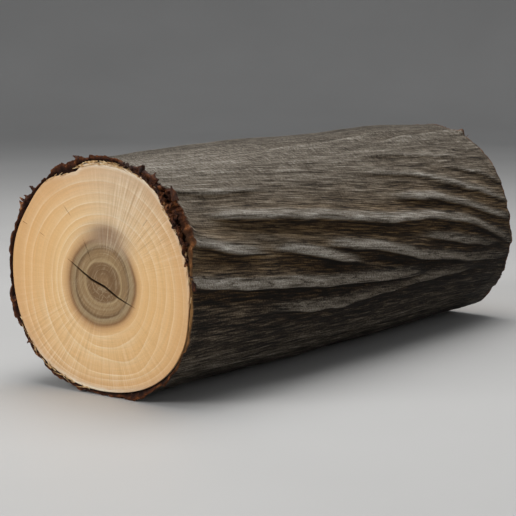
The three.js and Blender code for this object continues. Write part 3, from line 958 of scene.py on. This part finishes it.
def shell_rows():
    """The rows once round the shell's section: over the outside from back to front, over the front
    end, along the wood, and over the back end. A depth is 0 outside and 1 at the wood."""
    rim = np.linspace(0, RIM_LENGTH, RIM_ROWS + 1)
    flank = np.linspace(RIM_LENGTH, LENGTH - RIM_LENGTH, FLANK_ROWS + 1)[1:-1]
    outside = np.r_[rim, flank, LENGTH - rim[::-1]]
    through = np.arange(1, END_STEPS + 1) / (END_STEPS + 1)
    lengths = np.r_[outside[::-1], 0 * through, 0, LENGTH / 2, LENGTH, LENGTH + 0 * through]
    depths = np.r_[0 * outside, through, 1, 1, 1, through[::-1]]
    return lengths, depths


def proud_of(relief, column, row):
    """How far each point stands over its surroundings round the log, in full measures."""
    grid = np.lexsort((row, column)).reshape(BARK_SIDES, -1)
    table = relief[grid]
    level = table.copy()
    for _ in range(PROUD["rounds"]):
        level = (np.roll(level, 1, 0) + level + np.roll(level, -1, 0)) / 3
    proud = np.empty_like(relief)
    proud[grid] = table - level
    return proud / PROUD["height"]


def shade_and_dirt_on(angle, length):
    """How much darker the bark is at each point: painted shade on the side that faces down, and dirt."""
    facing_down = -np.sin(np.radians(angle))
    # The side that faces down is painted darker here, as shade.
    low = smoothstep(facing_down, *SHADE_AND_DIRT["from"])
    low = low * (1 - SHADE_AND_DIRT["less"] * smoothstep(facing_down, *SHADE_AND_DIRT["below"]))
    dusty = bumps(angle, [DUST]) - bumps(angle, [SWEPT]) * (1 - smoothstep(length, *SWEPT_RUN))
    more, all_round = SHADE_AND_DIRT["back"]
    return low * (1 + more * length / LENGTH) + all_round * length / LENGTH + dusty


def add_bark():
    lengths, depths = shell_rows()
    bark, column, row = rolled_grid(BARK_SIDES, len(lengths))
    bark.name = "log_bark"
    side = column * 360 / BARK_SIDES
    side = side - np.degrees(CROWDED["share"]) * np.sin(np.radians(side - CROWDED["angle"]))
    length, depth = lengths[row], depths[row]
    angle = side + grain_turn(side, length)

    # The outside: ridges, long folds and fibres.
    height, lean, crest_bleach_and_highlight, painted_shade_and_brown = ridge_relief(angle, length)
    on_top = bump(turned(angle - TOP["angle"]), TOP["width"])
    folds = FOLD_HEIGHT * grain_noise(side, length, *FOLDS) * (1 - TOP["fold_loss"] * on_top)
    fibres = FIBRE_HEIGHT * grain_noise(side, length, *FIBRES) * (1 - TOP["fibre_loss"] * on_top)
    relief = folds + fibres

    # The rims, which stand out from the flank, and past the saw's cut or short of it.
    front = length < LENGTH / 2
    from_end = np.where(front, length, LENGTH - length)
    rims = zip(rim_teeth(FRONT_RIM, side, angle), rim_teeth(BACK_RIM, side, angle))
    out, past, torn = (np.where(front, *pair) for pair in rims)
    shaggy = bump(turned(angle - SHAGGY["angle"]), SHAGGY["width"])
    shaggy = SHAGGY["least"] + SHAGGY["more"] * front * shaggy
    ragged = grain_noise(side, from_end + depth * END_WIDTH + 0.02 * front, *RAGS)
    ragged = ragged * (0.35 + 0.65 * torn) * shaggy
    knobs = KNOB_HEIGHT * front * smoothstep(grain_noise(side, 0 * side, *KNOBS), 0, 0.3)
    flare = np.clip(1 - from_end / TEETH["root"], 0, 1) ** TEETH_TAPER
    collar = front * np.interp(turned(angle), *np.array(COLLAR).T) * bump(length, COLLAR_RUN)
    collar = collar - front * bumps(angle, DRAWN_IN) * bump(length, DRAWN_IN_RUN)
    outer = log_radius(angle) + bark_cover(angle, length) + height + relief + collar
    outer = outer + (out + knobs + RAG_HEIGHT["out"] * ragged) * flare
    inner = wood_radius(angle) + INNER_GAP
    outer = np.maximum(outer, inner + LEAST_COVER)
    radius = outer + (inner - outer) * depth
    grooved = GROOVE * smoothstep(depth, 0.4, 0.9) * (0.3 + 0.7 * torn)
    crumbs = CRUMB_HEIGHT * grain_noise(side, depth * END_WIDTH, *CRUMBS) * shaggy
    reach = past * (1 - depth) + (LIP_HEIGHT * bump(depth - 0.25, 0.2) - grooved)
    reach = reach + RAG_HEIGHT["past"] * ragged + crumbs
    reach = np.where(from_end < 1e-6, np.where(depth < 1, reach, -GROOVE), 0)
    along = FRONT + length + np.where(front, -reach, reach)

    leaned = np.radians(angle) + lean * (depth == 0) / LOG_RADIUS
    across, above = radius * np.cos(leaned), np.maximum(radius * np.sin(leaned), -AXIS_HEIGHT)
    move_points(bark, on_log(across, along, above))
    keep_inside(bark)

    # What the material reads at each point.
    proud = proud_of(relief + height, column, row)
    valley = VALLEYS["level"] - VALLEYS["proud"] * proud - VALLEYS["crest_bleach_and_highlight"] * crest_bleach_and_highlight
    creep = 0.5 + 0.5 * grain_noise(side, length, *CREEP)
    fresh = np.clip(1.1 - from_end / (TORN_EDGE["least"] + TORN_EDGE["more"] * creep * torn), 0, 1)
    turn = np.radians(side)
    masks = {
        "proud": np.clip(proud, -1, 1),
        "crest_bleach_and_highlight": crest_bleach_and_highlight,
        "painted_shade_and_brown": painted_shade_and_brown,
        "grain": BARK_RADIUS * np.stack([np.cos(turn), length / BARK_RADIUS, np.sin(turn)], axis=1),
        "torn": np.where(depth > 0, 1.0, fresh),
        "depth": depth,
        "top": on_top,
        "shade_and_dirt": shade_and_dirt_on(angle, length),
        "between": bump(turned(angle - VALLEYS["angle"]), VALLEYS["width"]) * np.clip(valley, 0, 1),
        "yellowed": front * bump(turned(angle - YELLOWED["angle"]), YELLOWED["width"]),
    }
    for name, values in masks.items():
        add_attribute(bark, name, values)
    smooth_shaded(bark, 50)
    return bark


def new_group(name, inputs, outputs):
    """A shader node group, with its sockets given by name and kind, and its two ends."""
    group = bpy.data.node_groups.new(name, "ShaderNodeTree")
    for way, sockets in (("INPUT", inputs), ("OUTPUT", outputs)):
        for socket, kind in sockets.items():
            group.interface.new_socket(socket, in_out=way, socket_type="NodeSocket" + kind)
    return group, group.nodes.new("NodeGroupInput").outputs, group.nodes.new("NodeGroupOutput").inputs


def streak_group():
    """Streaks along the grain, each from 0 to 1: fine fibres, broader bands, and thin dark splits."""
    inputs = {"Grain": "Vector", "Fineness": "Float", "Stretch": "Float"}
    outputs = {"Fibres": "Float", "Bands": "Float", "Splits": "Float"}
    group, start, end = new_group("fibre streaks", inputs, outputs)
    shrunk = add_node(group, "CombineXYZ", {0: 1.0, 1: start["Stretch"], 2: 1.0}).outputs[0]
    sockets = {0: start["Grain"], 1: shrunk}
    drawn = add_node(group, "VectorMath", sockets, operation="MULTIPLY").outputs[0]
    broad = maths(group, "MULTIPLY", start["Fineness"], 0.4)
    broader = maths(group, "MULTIPLY", start["Fineness"], 0.27)
    fibres = noise(group, drawn, start["Fineness"], detail=3.0, roughness=0.6, distortion=0.1)
    bands = noise(group, drawn, broad, detail=2.0, roughness=0.6, distortion=0.3)
    wave = noise(group, drawn, broader, detail=3.0, roughness=0.5, distortion=0.4)
    ridge = maths(group, "ABSOLUTE", maths(group, "SUBTRACT", wave, 0.5))
    splits = ranged(group, ridge, 0.0, 0.022, 1.0, 0.0)
    for socket, name in ((fibres, "Fibres"), (bands, "Bands"), (splits, "Splits")):
        group.links.new(socket, end[name])
    return group


def torn_group():
    """Torn bark: red-brown grains, nearly black where Shift is low, and their height."""
    inputs = {"Place": "Vector", "Scale": "Float", "Roughness": "Float", "Shift": "Float"}
    group, start, end = new_group("torn grains", inputs, {"Colour": "Color", "Broken": "Float"})
    broken = noise(group, start["Place"], start["Scale"], detail=5.0, roughness=start["Roughness"])
    colour = ramp(group, maths(group, "ADD", broken, start["Shift"]), TORN_TONES)
    group.links.new(colour, end["Colour"])
    group.links.new(broken, end["Broken"])
    return group


BARK_TONES = [
    (0.00, srgb(20, 17, 14)),
    (0.20, srgb(48, 41, 33)),
    (0.40, srgb(88, 80, 69)),
    (0.58, srgb(120, 112, 101)),
    (0.76, srgb(152, 146, 136)),
    (1.00, srgb(196, 191, 181)),
]
TORN_TONES = [
    (0.00, srgb(14, 6, 4)),
    (0.35, srgb(40, 18, 8)),
    (0.52, srgb(67, 33, 14)),
    (0.66, srgb(114, 65, 31)),
    (0.90, srgb(196, 150, 100)),
]
YELLOW_BROWN = srgb(190, 146, 92)
VALLEY_BROWN = srgb(255, 221, 168)

STREAKS = streak_group()
TORN_GRAINS = torn_group()


def bark_material():
    material, tree, shader = new_material("weathered bark")
    place = object_place(tree)
    proud, crest_bleach_and_highlight, painted_shade_and_brown, torn, depth, top, shade_and_dirt = (
        attribute(tree, name) for name in ("proud", "crest_bleach_and_highlight", "painted_shade_and_brown", "torn", "depth", "top", "shade_and_dirt")
    )
    grain = {"Grain": attribute(tree, "grain", "Vector"), "Fineness": 1150.0, "Stretch": 0.045}
    streaks = add_node(tree, "Group", grain, node_tree=STREAKS).outputs
    fibres, bands, splits = (streaks[name] for name in ("Fibres", "Bands", "Splits"))
    pebbles = noise(tree, place, scale=1000.0, detail=3.0, roughness=0.65)
    hatch = noise(tree, slanted(tree, place, (0, 0, 0.3), (7, 1, 7)), scale=1100.0, detail=2.0)
    blotches = noise(tree, place, scale=16.0, detail=4.0, roughness=0.6)
    flank = maths(tree, "SUBTRACT", 1.0, top)

    # Tone: crests painted lighter, partly bleaching and partly highlight, shade painted below them,
    # fibre streaks.
    # Lighter where the bark stands proud and darker in its hollows: partly weathering, partly painted
    # shade.
    tone = raised(tree, proud, 0.10, 0.51)
    # The crests are painted lighter: partly bleaching, partly a painted highlight, weaker on the top.
    tone = plus(tree, tone, crest_bleach_and_highlight, raised(tree, top, -0.18, 0.225))
    # Below the steep side of each crest the bark is painted darker, as shade.
    tone = plus(tree, tone, painted_shade_and_brown, raised(tree, top, 0.15, -0.26))
    striped = raised(tree, crest_bleach_and_highlight, -0.6, 1.0)
    granular = raised(tree, clamped(tree, maths(tree, "ADD", crest_bleach_and_highlight, shade_and_dirt)), 0.6, 0.4)
    for lines, gain in ((fibres, raised(tree, top, -0.9, 1.6)), (bands, raised(tree, top, -0.25, 0.55))):
        tone = plus(tree, tone, product(tree, centred(tree, lines, 1.0), striped), gain)
    tone = plus(tree, tone, centred(tree, pebbles, 1.0), raised(tree, top, 0.7, granular))
    tone = plus(tree, tone, centred(tree, hatch, 1.0), product(tree, top, 0.9))
    tone = plus(tree, tone, centred(tree, blotches, 1.0), 0.22)
    tone = plus(tree, tone, splits, raised(tree, flank, -0.16, -0.10))
    # Darker by the painted shade on the side that faces down, and by dirt.
    tone = plus(tree, tone, shade_and_dirt, -0.37)
    colour = ramp(tree, tone, BARK_TONES)
    # Browned in the valleys, and under the crests where the painted shade lies.
    browned = plus(tree, attribute(tree, "between"), painted_shade_and_brown, 0.6)
    valley = mixed(tree, 1.0, colour, VALLEY_BROWN, "MULTIPLY")
    colour = mixed(tree, clamped(tree, browned), colour, valley)

    # Torn bark: red-brown, and painted nearly black as shade in the groove next to the wood.
    painted_groove_shade = ranged(tree, depth, 0.2, 0.75, 0.05, -0.2)
    grains = {"Place": place, "Scale": 220.0, "Roughness": 0.62, "Shift": painted_groove_shade}
    grains = add_node(tree, "Group", grains, node_tree=TORN_GRAINS).outputs
    broken = grains["Broken"]
    yellow = product(tree, attribute(tree, "yellowed"), broken)
    colour = mixed(tree, torn, colour, mixed(tree, yellow, grains["Colour"], YELLOW_BROWN))
    tree.links.new(colour, shader.inputs["Base Color"])
    tree.links.new(raised(tree, fibres, 0.2, 0.72), shader.inputs["Roughness"])

    # Relief: fibres, bands, pebbles and splits outside, and broken grains where it is torn.
    fine = maths(tree, "MULTIPLY", fibres, raised(tree, top, -0.6, 1.2))
    for value, gain in ((bands, 0.8), (pebbles, raised(tree, top, 0.5, 0.25)), (splits, -0.25)):
        fine = plus(tree, fine, value, gain)
    coarse = maths(tree, "MULTIPLY", broken, 2.0)
    height = add_node(tree, "Mix", {0: torn, 2: fine, 3: coarse}).outputs[0]
    normal = add_node(tree, "Bump", {"Height": height, "Distance": 0.0009, "Strength": 1.0}).outputs[0]
    tree.links.new(normal, shader.inputs["Normal"])
    shader.inputs["Specular IOR Level"].default_value = 0.2
    return material


WEATHERED_BARK = bark_material()
finish(add_bark(), WEATHERED_BARK, "bark")


# Lumps
# Broken lumps of bark that the saw left standing at the rims, thickest at the upper right of the
# front face. Each is a crooked block that narrows outwards, roughened all over.

# Sizes of a lump in mm, outwards, round the log and along it, and how far it is sunk into the bark.
LUMP = {"small": (5, 5, 6), "large": (9, 10, 12), "sunk": 3.6}
LUMP_TOP = (0.2, 0.8)  # the share of its width left at the top of a lump
LUMP_CROOKED = 0.2
LUMP_LEAN = 0.5  # radians
LUMP_TIP = (-0.1, 0.45)  # radians, forwards over the face
LUMP_INSET = (0.12, 0.4)
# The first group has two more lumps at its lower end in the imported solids. The rim is smooth there.
FRONT_LUMPS = [
    {"end": -1, "first": 66, "last": 29.33, "count": 11, "seed": 23, "scale": 1.0},
    {"end": -1, "first": 150, "last": 138, "count": 3, "seed": 41, "scale": 0.75},
    {"end": -1, "first": 228, "last": 196, "count": 4, "seed": 59, "scale": 0.65},
]
BACK_LUMPS = [{"end": 1, "first": 170, "last": 228, "count": 12, "seed": 71, "scale": 0.9}]
LUMP_SWAY = 2.5  # degrees that a lump may stand off its even step
CORNER_ORDER = [
    (1, 1, 1), (1, 1, -1), (1, -1, 1), (1, -1, -1), (-1, 1, -1), (-1, 1, 1), (-1, -1, -1), (-1, -1, 1),
]
LUMP_CUTS = 6
SLIM = (1.0, 0.8, 0.5)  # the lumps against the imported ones: outwards, round the log and along it
LUMP_GRAIN = [(0.0011, 0.0042), (0.0007, 0.0016)]  # how far the points move, and the noise's cell
EDGE_CLEARANCE = 0.0003

# The seed of the noise that roughens lumps, chips and splinters. Without it, each run would differ.
ROUGH_SEED = 1
seed_set(ROUGH_SEED)


def rim_radius(angle, end):
    """The bark's radius at one end, with its ridges."""
    angle = np.array([float(angle)])
    length = np.array([0.0 if end < 0 else LENGTH])
    return float((log_radius(angle) + bark_cover(angle, length) + ridge_relief(angle, length)[0])[0])


def roughened(points, amount, cell):
    """Points moved by smooth noise with cells of a given size."""
    return points + amount * np.array([noise_vector(Vector(point / cell)) for point in points])


def clear_of_face(piece):
    """Moves points that lie over the wood out to its edge."""
    x, y, z = points_of(piece).T
    angle = np.degrees(np.arctan2(z - AXIS_HEIGHT, x))
    radius = np.hypot(x, z - AXIS_HEIGHT)
    out = np.maximum(radius, wood_radius(angle) + EDGE_CLEARANCE) / radius
    move_points(piece, on_log(x * out, y, (z - AXIS_HEIGHT) * out))


def add_lump(draw, angle, end, scale):
    weight = draw(0, 1)
    bounds = zip(LUMP["small"], LUMP["large"])
    size = [scale * (small + (large - small) * weight) for small, large in bounds]
    corners = {}
    for corner in CORNER_ORDER:
        narrow = 0.5 * draw(*LUMP_TOP) if corner[0] > 0 else 1
        crooked = [length * draw(-LUMP_CROOKED, LUMP_CROOKED) for length in size]
        middle = [half * length / 2 for half, length in zip(corner, size)]
        shares = (1, narrow, narrow)
        corners[corner] = [place * share + off for place, share, off in zip(middle, shares, crooked)]
    lean, tip = draw(-LUMP_LEAN, LUMP_LEAN), end * draw(*LUMP_TIP)
    inset = draw(*LUMP_INSET) * SLIM[2] * size[2]
    out = rim_radius(angle, end) * 1000 + SLIM[0] * size[0] / 2 - scale * LUMP["sunk"]

    bpy.ops.object.select_all(action="DESELECT")
    bpy.ops.mesh.primitive_cube_add(size=2)
    lump = bpy.context.object
    block = np.array([corners[tuple(np.sign(point).astype(int))] for point in points_of(lump)]) * SLIM
    place = Matrix.Translation((0, end * (LENGTH / 2 * 1000 - inset), AXIS_HEIGHT * 1000))
    place = place @ Matrix.Rotation(math.pi / 2, 4, "X") @ Matrix.Rotation(math.radians(angle), 4, "Z")
    place = place @ Matrix.Translation((out, 0, 0))
    place = place @ Matrix.Rotation(tip, 4, "Y") @ Matrix.Rotation(lean, 4, "Z")
    move_points(lump, np.array([place @ Vector(point) for point in block]) / 1000)
    edit_all()
    bpy.ops.mesh.subdivide(number_cuts=LUMP_CUTS, smoothness=0.1)
    bpy.ops.object.mode_set(mode="OBJECT")
    for amount, cell in LUMP_GRAIN:
        move_points(lump, roughened(points_of(lump), amount, cell))
    return lump


def add_lumps(groups, name):
    lumps = []
    for group in groups:
        draw = seeded_draws(group["seed"])
        for i in range(group["count"]):
            step = (group["last"] - group["first"]) / (group["count"] - 1)
            angle = group["first"] + step * i + draw(-LUMP_SWAY, LUMP_SWAY)
            lumps.append(add_lump(draw, angle, group["end"], group["scale"]))
    lumps = joined(lumps, name)
    clear_of_face(lumps)
    keep_inside(lumps)
    smooth_shaded(lumps, 30)
    return lumps


def torn_material():
    """Freshly broken bark: red-brown, with paler flakes and ends of fibres."""
    material, tree, shader = new_material("torn bark")
    place = object_place(tree)
    patches = centred(tree, noise(tree, place, scale=110.0, detail=3.0), 1.0)
    grains = {"Place": place, "Scale": 300.0, "Roughness": 0.7, "Shift": patches}
    grains = add_node(tree, "Group", grains, node_tree=TORN_GRAINS).outputs
    broken = grains["Broken"]
    tree.links.new(grains["Colour"], shader.inputs["Base Color"])
    tree.links.new(raised(tree, broken, 0.3, 0.6), shader.inputs["Roughness"])
    normal = add_node(tree, "Bump", {"Height": broken, "Distance": 0.0015, "Strength": 1.0}).outputs[0]
    tree.links.new(normal, shader.inputs["Normal"])
    shader.inputs["Specular IOR Level"].default_value = 0.3
    return material


TORN_BARK = torn_material()
finish(add_lumps(FRONT_LUMPS, "front_lumps"), TORN_BARK, "bark")
finish(add_lumps(BACK_LUMPS, "back_lumps"), TORN_BARK, "bark")


# Chips
# Small shards of bark that stand on the torn rims at all angles, thickest among the lumps. One
# shard is modelled, and each copy has its own size and roughness.
CHIP_CUTS = 3
FLAKE_CUTS = 5
# How a shard's corners are rounded, how wide its middle is, how it draws in to one end and curls.
SHARD = {"round": (0.45, 0.75), "middle": 0.62, "taper": 0.38, "curl": 0.25}
# Sectors where the chips stand, as (angle, share, width in degrees).
FRONT_CHIPS = {"end": -1, "count": 110, "seed": 7, "sectors": [(46, 1.0, 20), (28, 0.6, 12)]}
BACK_CHIPS = {"end": 1, "count": 50, "seed": 9, "sectors": [(190, 1.0, 60)]}
# Larger flakes of the front rim: angle, distance from the axis, way they point (round, out and ahead),
# and half their thickness, width and length.
FLAKES = [
    (65, 0.0762, (-0.9, 0.45, 0.1), (0.0012, 0.0016, 0.0046)),
    (56, 0.0780, (-0.95, 0.3, 0.1), (0.0014, 0.0021, 0.0064)),
    (43, 0.0828, (0.86, 0.5, 0.1), (0.0017, 0.0020, 0.0044)),
    (103, 0.0762, (0.9, 0.5, 0.1), (0.0008, 0.0012, 0.0024)),
    (145, 0.0785, (0.2, 1.0, 0.0), (0.0007, 0.0011, 0.0024)),
]
FLAKE_AHEAD = 0.0004
FLAKE_ROLL = 0.6  # radians
CHIP_SIZE = [(0.0006, 0.0015), (0.0011, 0.0026), (0.0018, 0.0040)]  # thickness, width and length
CHIP_DEPTH = (0.4, 0.9)  # from the wood to the outside
CHIP_WAY = [(-1, 1), (0, 1), (-0.1, 1)]  # round, out and ahead
CHIP_AHEAD = (-0.001, 0.001)
ANY_ROLL = (0, 6.3)
COPY_GRAIN = {"amount": 0.35, "cell": 1.1, "step": 5.3}  # how each copy of a model is roughened


def shard_model(cuts):
    """A shard about 2 long and 2 wide, lengthways along Z, that narrows and curls to one end."""
    bpy.ops.object.select_all(action="DESELECT")
    bpy.ops.mesh.primitive_cube_add(size=2)
    shard = bpy.context.object
    edit_all()
    bpy.ops.mesh.subdivide(number_cuts=cuts)
    bpy.ops.object.mode_set(mode="OBJECT")
    x, y, z = points_of(shard).T
    away = np.sqrt(x * x + y * y + z * z)
    rounded = SHARD["round"][0] + SHARD["round"][1] / away
    narrow = SHARD["middle"] - SHARD["taper"] * z
    curled = rounded * x * narrow + SHARD["curl"] * z * z
    move_points(shard, np.stack([curled, rounded * y * narrow, z], axis=1))
    return shard


def rim_matrix(angle, end, out, ahead, way, roll, size):
    """Places a model on a rim, out from the axis and ahead of the face. way points its Z round, out
    and ahead."""
    cos, sin = math.cos(math.radians(angle)), math.sin(math.radians(angle))
    around, outward, forward = Vector((-sin, 0, cos)), Vector((cos, 0, sin)), Vector((0, end, 0))
    point = outward * out + forward * (LENGTH / 2 + ahead) + Vector((0, 0, AXIS_HEIGHT))
    pointing = around * way[0] + outward * way[1] + forward * way[2]
    turn = pointing.to_track_quat("Z", "Y").to_matrix().to_4x4() @ Matrix.Rotation(roll, 4, "Z")
    return Matrix.Translation(point) @ turn @ Matrix.Diagonal((*size, 1))


def angles_in(sectors, count, chance):
    """Angles drawn so that each sector gets its share."""
    angles = []
    while len(angles) < count:
        angle = chance.uniform(-180, 180)
        if chance.uniform() < bumps(angle, sectors):
            angles.append(angle)
    return angles


def add_copies(model, places, name, over_face=False):
    """Copies of a model, each roughened and placed by its own matrix, joined into one piece."""
    copies = []
    points = points_of(model)
    for number, place in enumerate(places):
        copy = bpy.data.objects.new(name, model.data.copy())
        bpy.context.scene.collection.objects.link(copy)
        moved = COPY_GRAIN["step"] * number
        rough = roughened(points + moved, COPY_GRAIN["amount"], COPY_GRAIN["cell"])
        move_points(copy, rough - moved)
        copy.data.transform(place)
        copies.append(copy)
    bpy.data.objects.remove(model)
    piece = joined(copies, name)
    if not over_face:
        clear_of_face(piece)
    keep_inside(piece)
    smooth_shaded(piece, 35)
    return piece


def add_chips(end, count, seed, sectors):
    chance = np.random.default_rng(seed)
    places = []
    for angle in angles_in(sectors, count, chance):
        size = [chance.uniform(*bounds) for bounds in CHIP_SIZE]
        outer, inner = rim_radius(angle, end), float(wood_radius(angle))
        out = inner + (outer - inner) * chance.uniform(*CHIP_DEPTH)
        way = [chance.uniform(*bounds) for bounds in CHIP_WAY]
        ahead, roll = chance.uniform(*CHIP_AHEAD), chance.uniform(*ANY_ROLL)
        places.append(rim_matrix(angle, end, out, ahead, way, roll, size))
    return add_copies(shard_model(CHIP_CUTS), places, "front_chips" if end < 0 else "back_chips")


def add_flakes():
    places = [
        rim_matrix(angle, -1, out, FLAKE_AHEAD, way, FLAKE_ROLL, size)
        for angle, out, way, size in FLAKES
    ]
    return add_copies(shard_model(FLAKE_CUTS), places, "flakes")


finish(add_flakes(), TORN_BARK, "bark")
finish(add_chips(**FRONT_CHIPS), TORN_BARK, "bark")
finish(add_chips(**BACK_CHIPS), TORN_BARK, "bark")


# Splinters
# Thin ends of bark fibres that stick out of both rims. Dark ones point outwards, and pale ones, which
# are inner bark, lie along the edge of the front face.
SPLINTER = {"sides": 5, "tip": 0.1, "cuts": (-0.3, 0.4), "bend": 0.9, "flat": 0.4}
DARK_SPLINTERS = [
    {"end": -1, "count": 60, "seed": 31, "sectors": [(46, 1.0, 22), (26, 0.5, 10)]},
    {"end": 1, "count": 60, "seed": 33, "sectors": [(180, 1.0, 80), (67, 0.6, 6)]},
]
PALE_SPLINTERS = {
    "end": -1,
    "count": 220,
    "seed": 35,
    "sectors": [(66, 1.0, 16), (86, 0.5, 20), (36, 0.4, 14), (12, 0.3, 14), (-115, 0.2, 30)],
}
SPLINTER_THICK = (0.00018, 0.0005)
SPLINTER_LONG = (0.0015, 0.0042)
SPLINTER_AHEAD = (0, 0.0006)
DARK_DEPTH = (0.5, 1.0)  # from the wood to the outside
DARK_WAY = [(-0.6, 0.6), (0.2, 1), (0, 1)]  # round, out and ahead
PALE_OFFSET = (-0.0012, 0.0012)  # from the wood's edge
PALE_WAY = [(-0.2, 0.3), (0, 0.35)]  # out and ahead
FIBRE_TONES = [(0.3, srgb(150, 104, 60)), (0.5, srgb(206, 168, 116)), (0.7, srgb(236, 214, 172))]


def splinter_model():
    """A splinter about 2 long, lengthways along Z, that bends and runs out to a point."""
    bpy.ops.object.select_all(action="DESELECT")
    sides, tip = SPLINTER["sides"], SPLINTER["tip"]
    bpy.ops.mesh.primitive_cone_add(vertices=sides, radius1=1, radius2=tip, depth=2)
    splinter = bpy.context.object
    bpy.ops.object.mode_set(mode="EDIT")
    for height in SPLINTER["cuts"]:
        bpy.ops.mesh.select_all(action="SELECT")
        bpy.ops.mesh.bisect(plane_co=(0, 0, height), plane_no=(0, 0, 1))
    bpy.ops.object.mode_set(mode="OBJECT")
    x, y, z = points_of(splinter).T
    bent, flattened = x + SPLINTER["bend"] * z * z, y * (1 + SPLINTER["flat"] * z)
    move_points(splinter, np.stack([bent, flattened, z], axis=1))
    return splinter


def add_splinters(end, count, seed, sectors, pale=False):
    chance = np.random.default_rng(seed)
    places = []
    for angle in angles_in(sectors, count, chance):
        thick, long = chance.uniform(*SPLINTER_THICK), chance.uniform(*SPLINTER_LONG)
        outer, inner = rim_radius(angle, end), float(wood_radius(angle))
        if pale:
            out = inner + chance.uniform(*PALE_OFFSET)
            way = [chance.choice([-1, 1])] + [chance.uniform(*bounds) for bounds in PALE_WAY]
        else:
            out = inner + (outer - inner) * chance.uniform(*DARK_DEPTH)
            way = [chance.uniform(*bounds) for bounds in DARK_WAY]
        ahead, roll = chance.uniform(*SPLINTER_AHEAD), chance.uniform(*ANY_ROLL)
        places.append(rim_matrix(angle, end, out, ahead, way, roll, (thick, thick, long)))
    kind = "pale" if pale else "dark"
    name = kind + ("_front" if end < 0 else "_back") + "_splinters"
    return add_copies(splinter_model(), places, name, over_face=pale)


def fibre_material():
    """Pale inner bark, stringy and dry."""
    material, tree, shader = new_material("inner bark fibres")
    strings = noise(tree, object_place(tree), scale=420.0, detail=3.0)
    tree.links.new(ramp(tree, strings, FIBRE_TONES), shader.inputs["Base Color"])
    shader.inputs["Roughness"].default_value = 0.75
    return material


for splinters in DARK_SPLINTERS:
    finish(add_splinters(**splinters), TORN_BARK, "bark")
finish(add_splinters(**PALE_SPLINTERS, pale=True), fibre_material(), "bark")
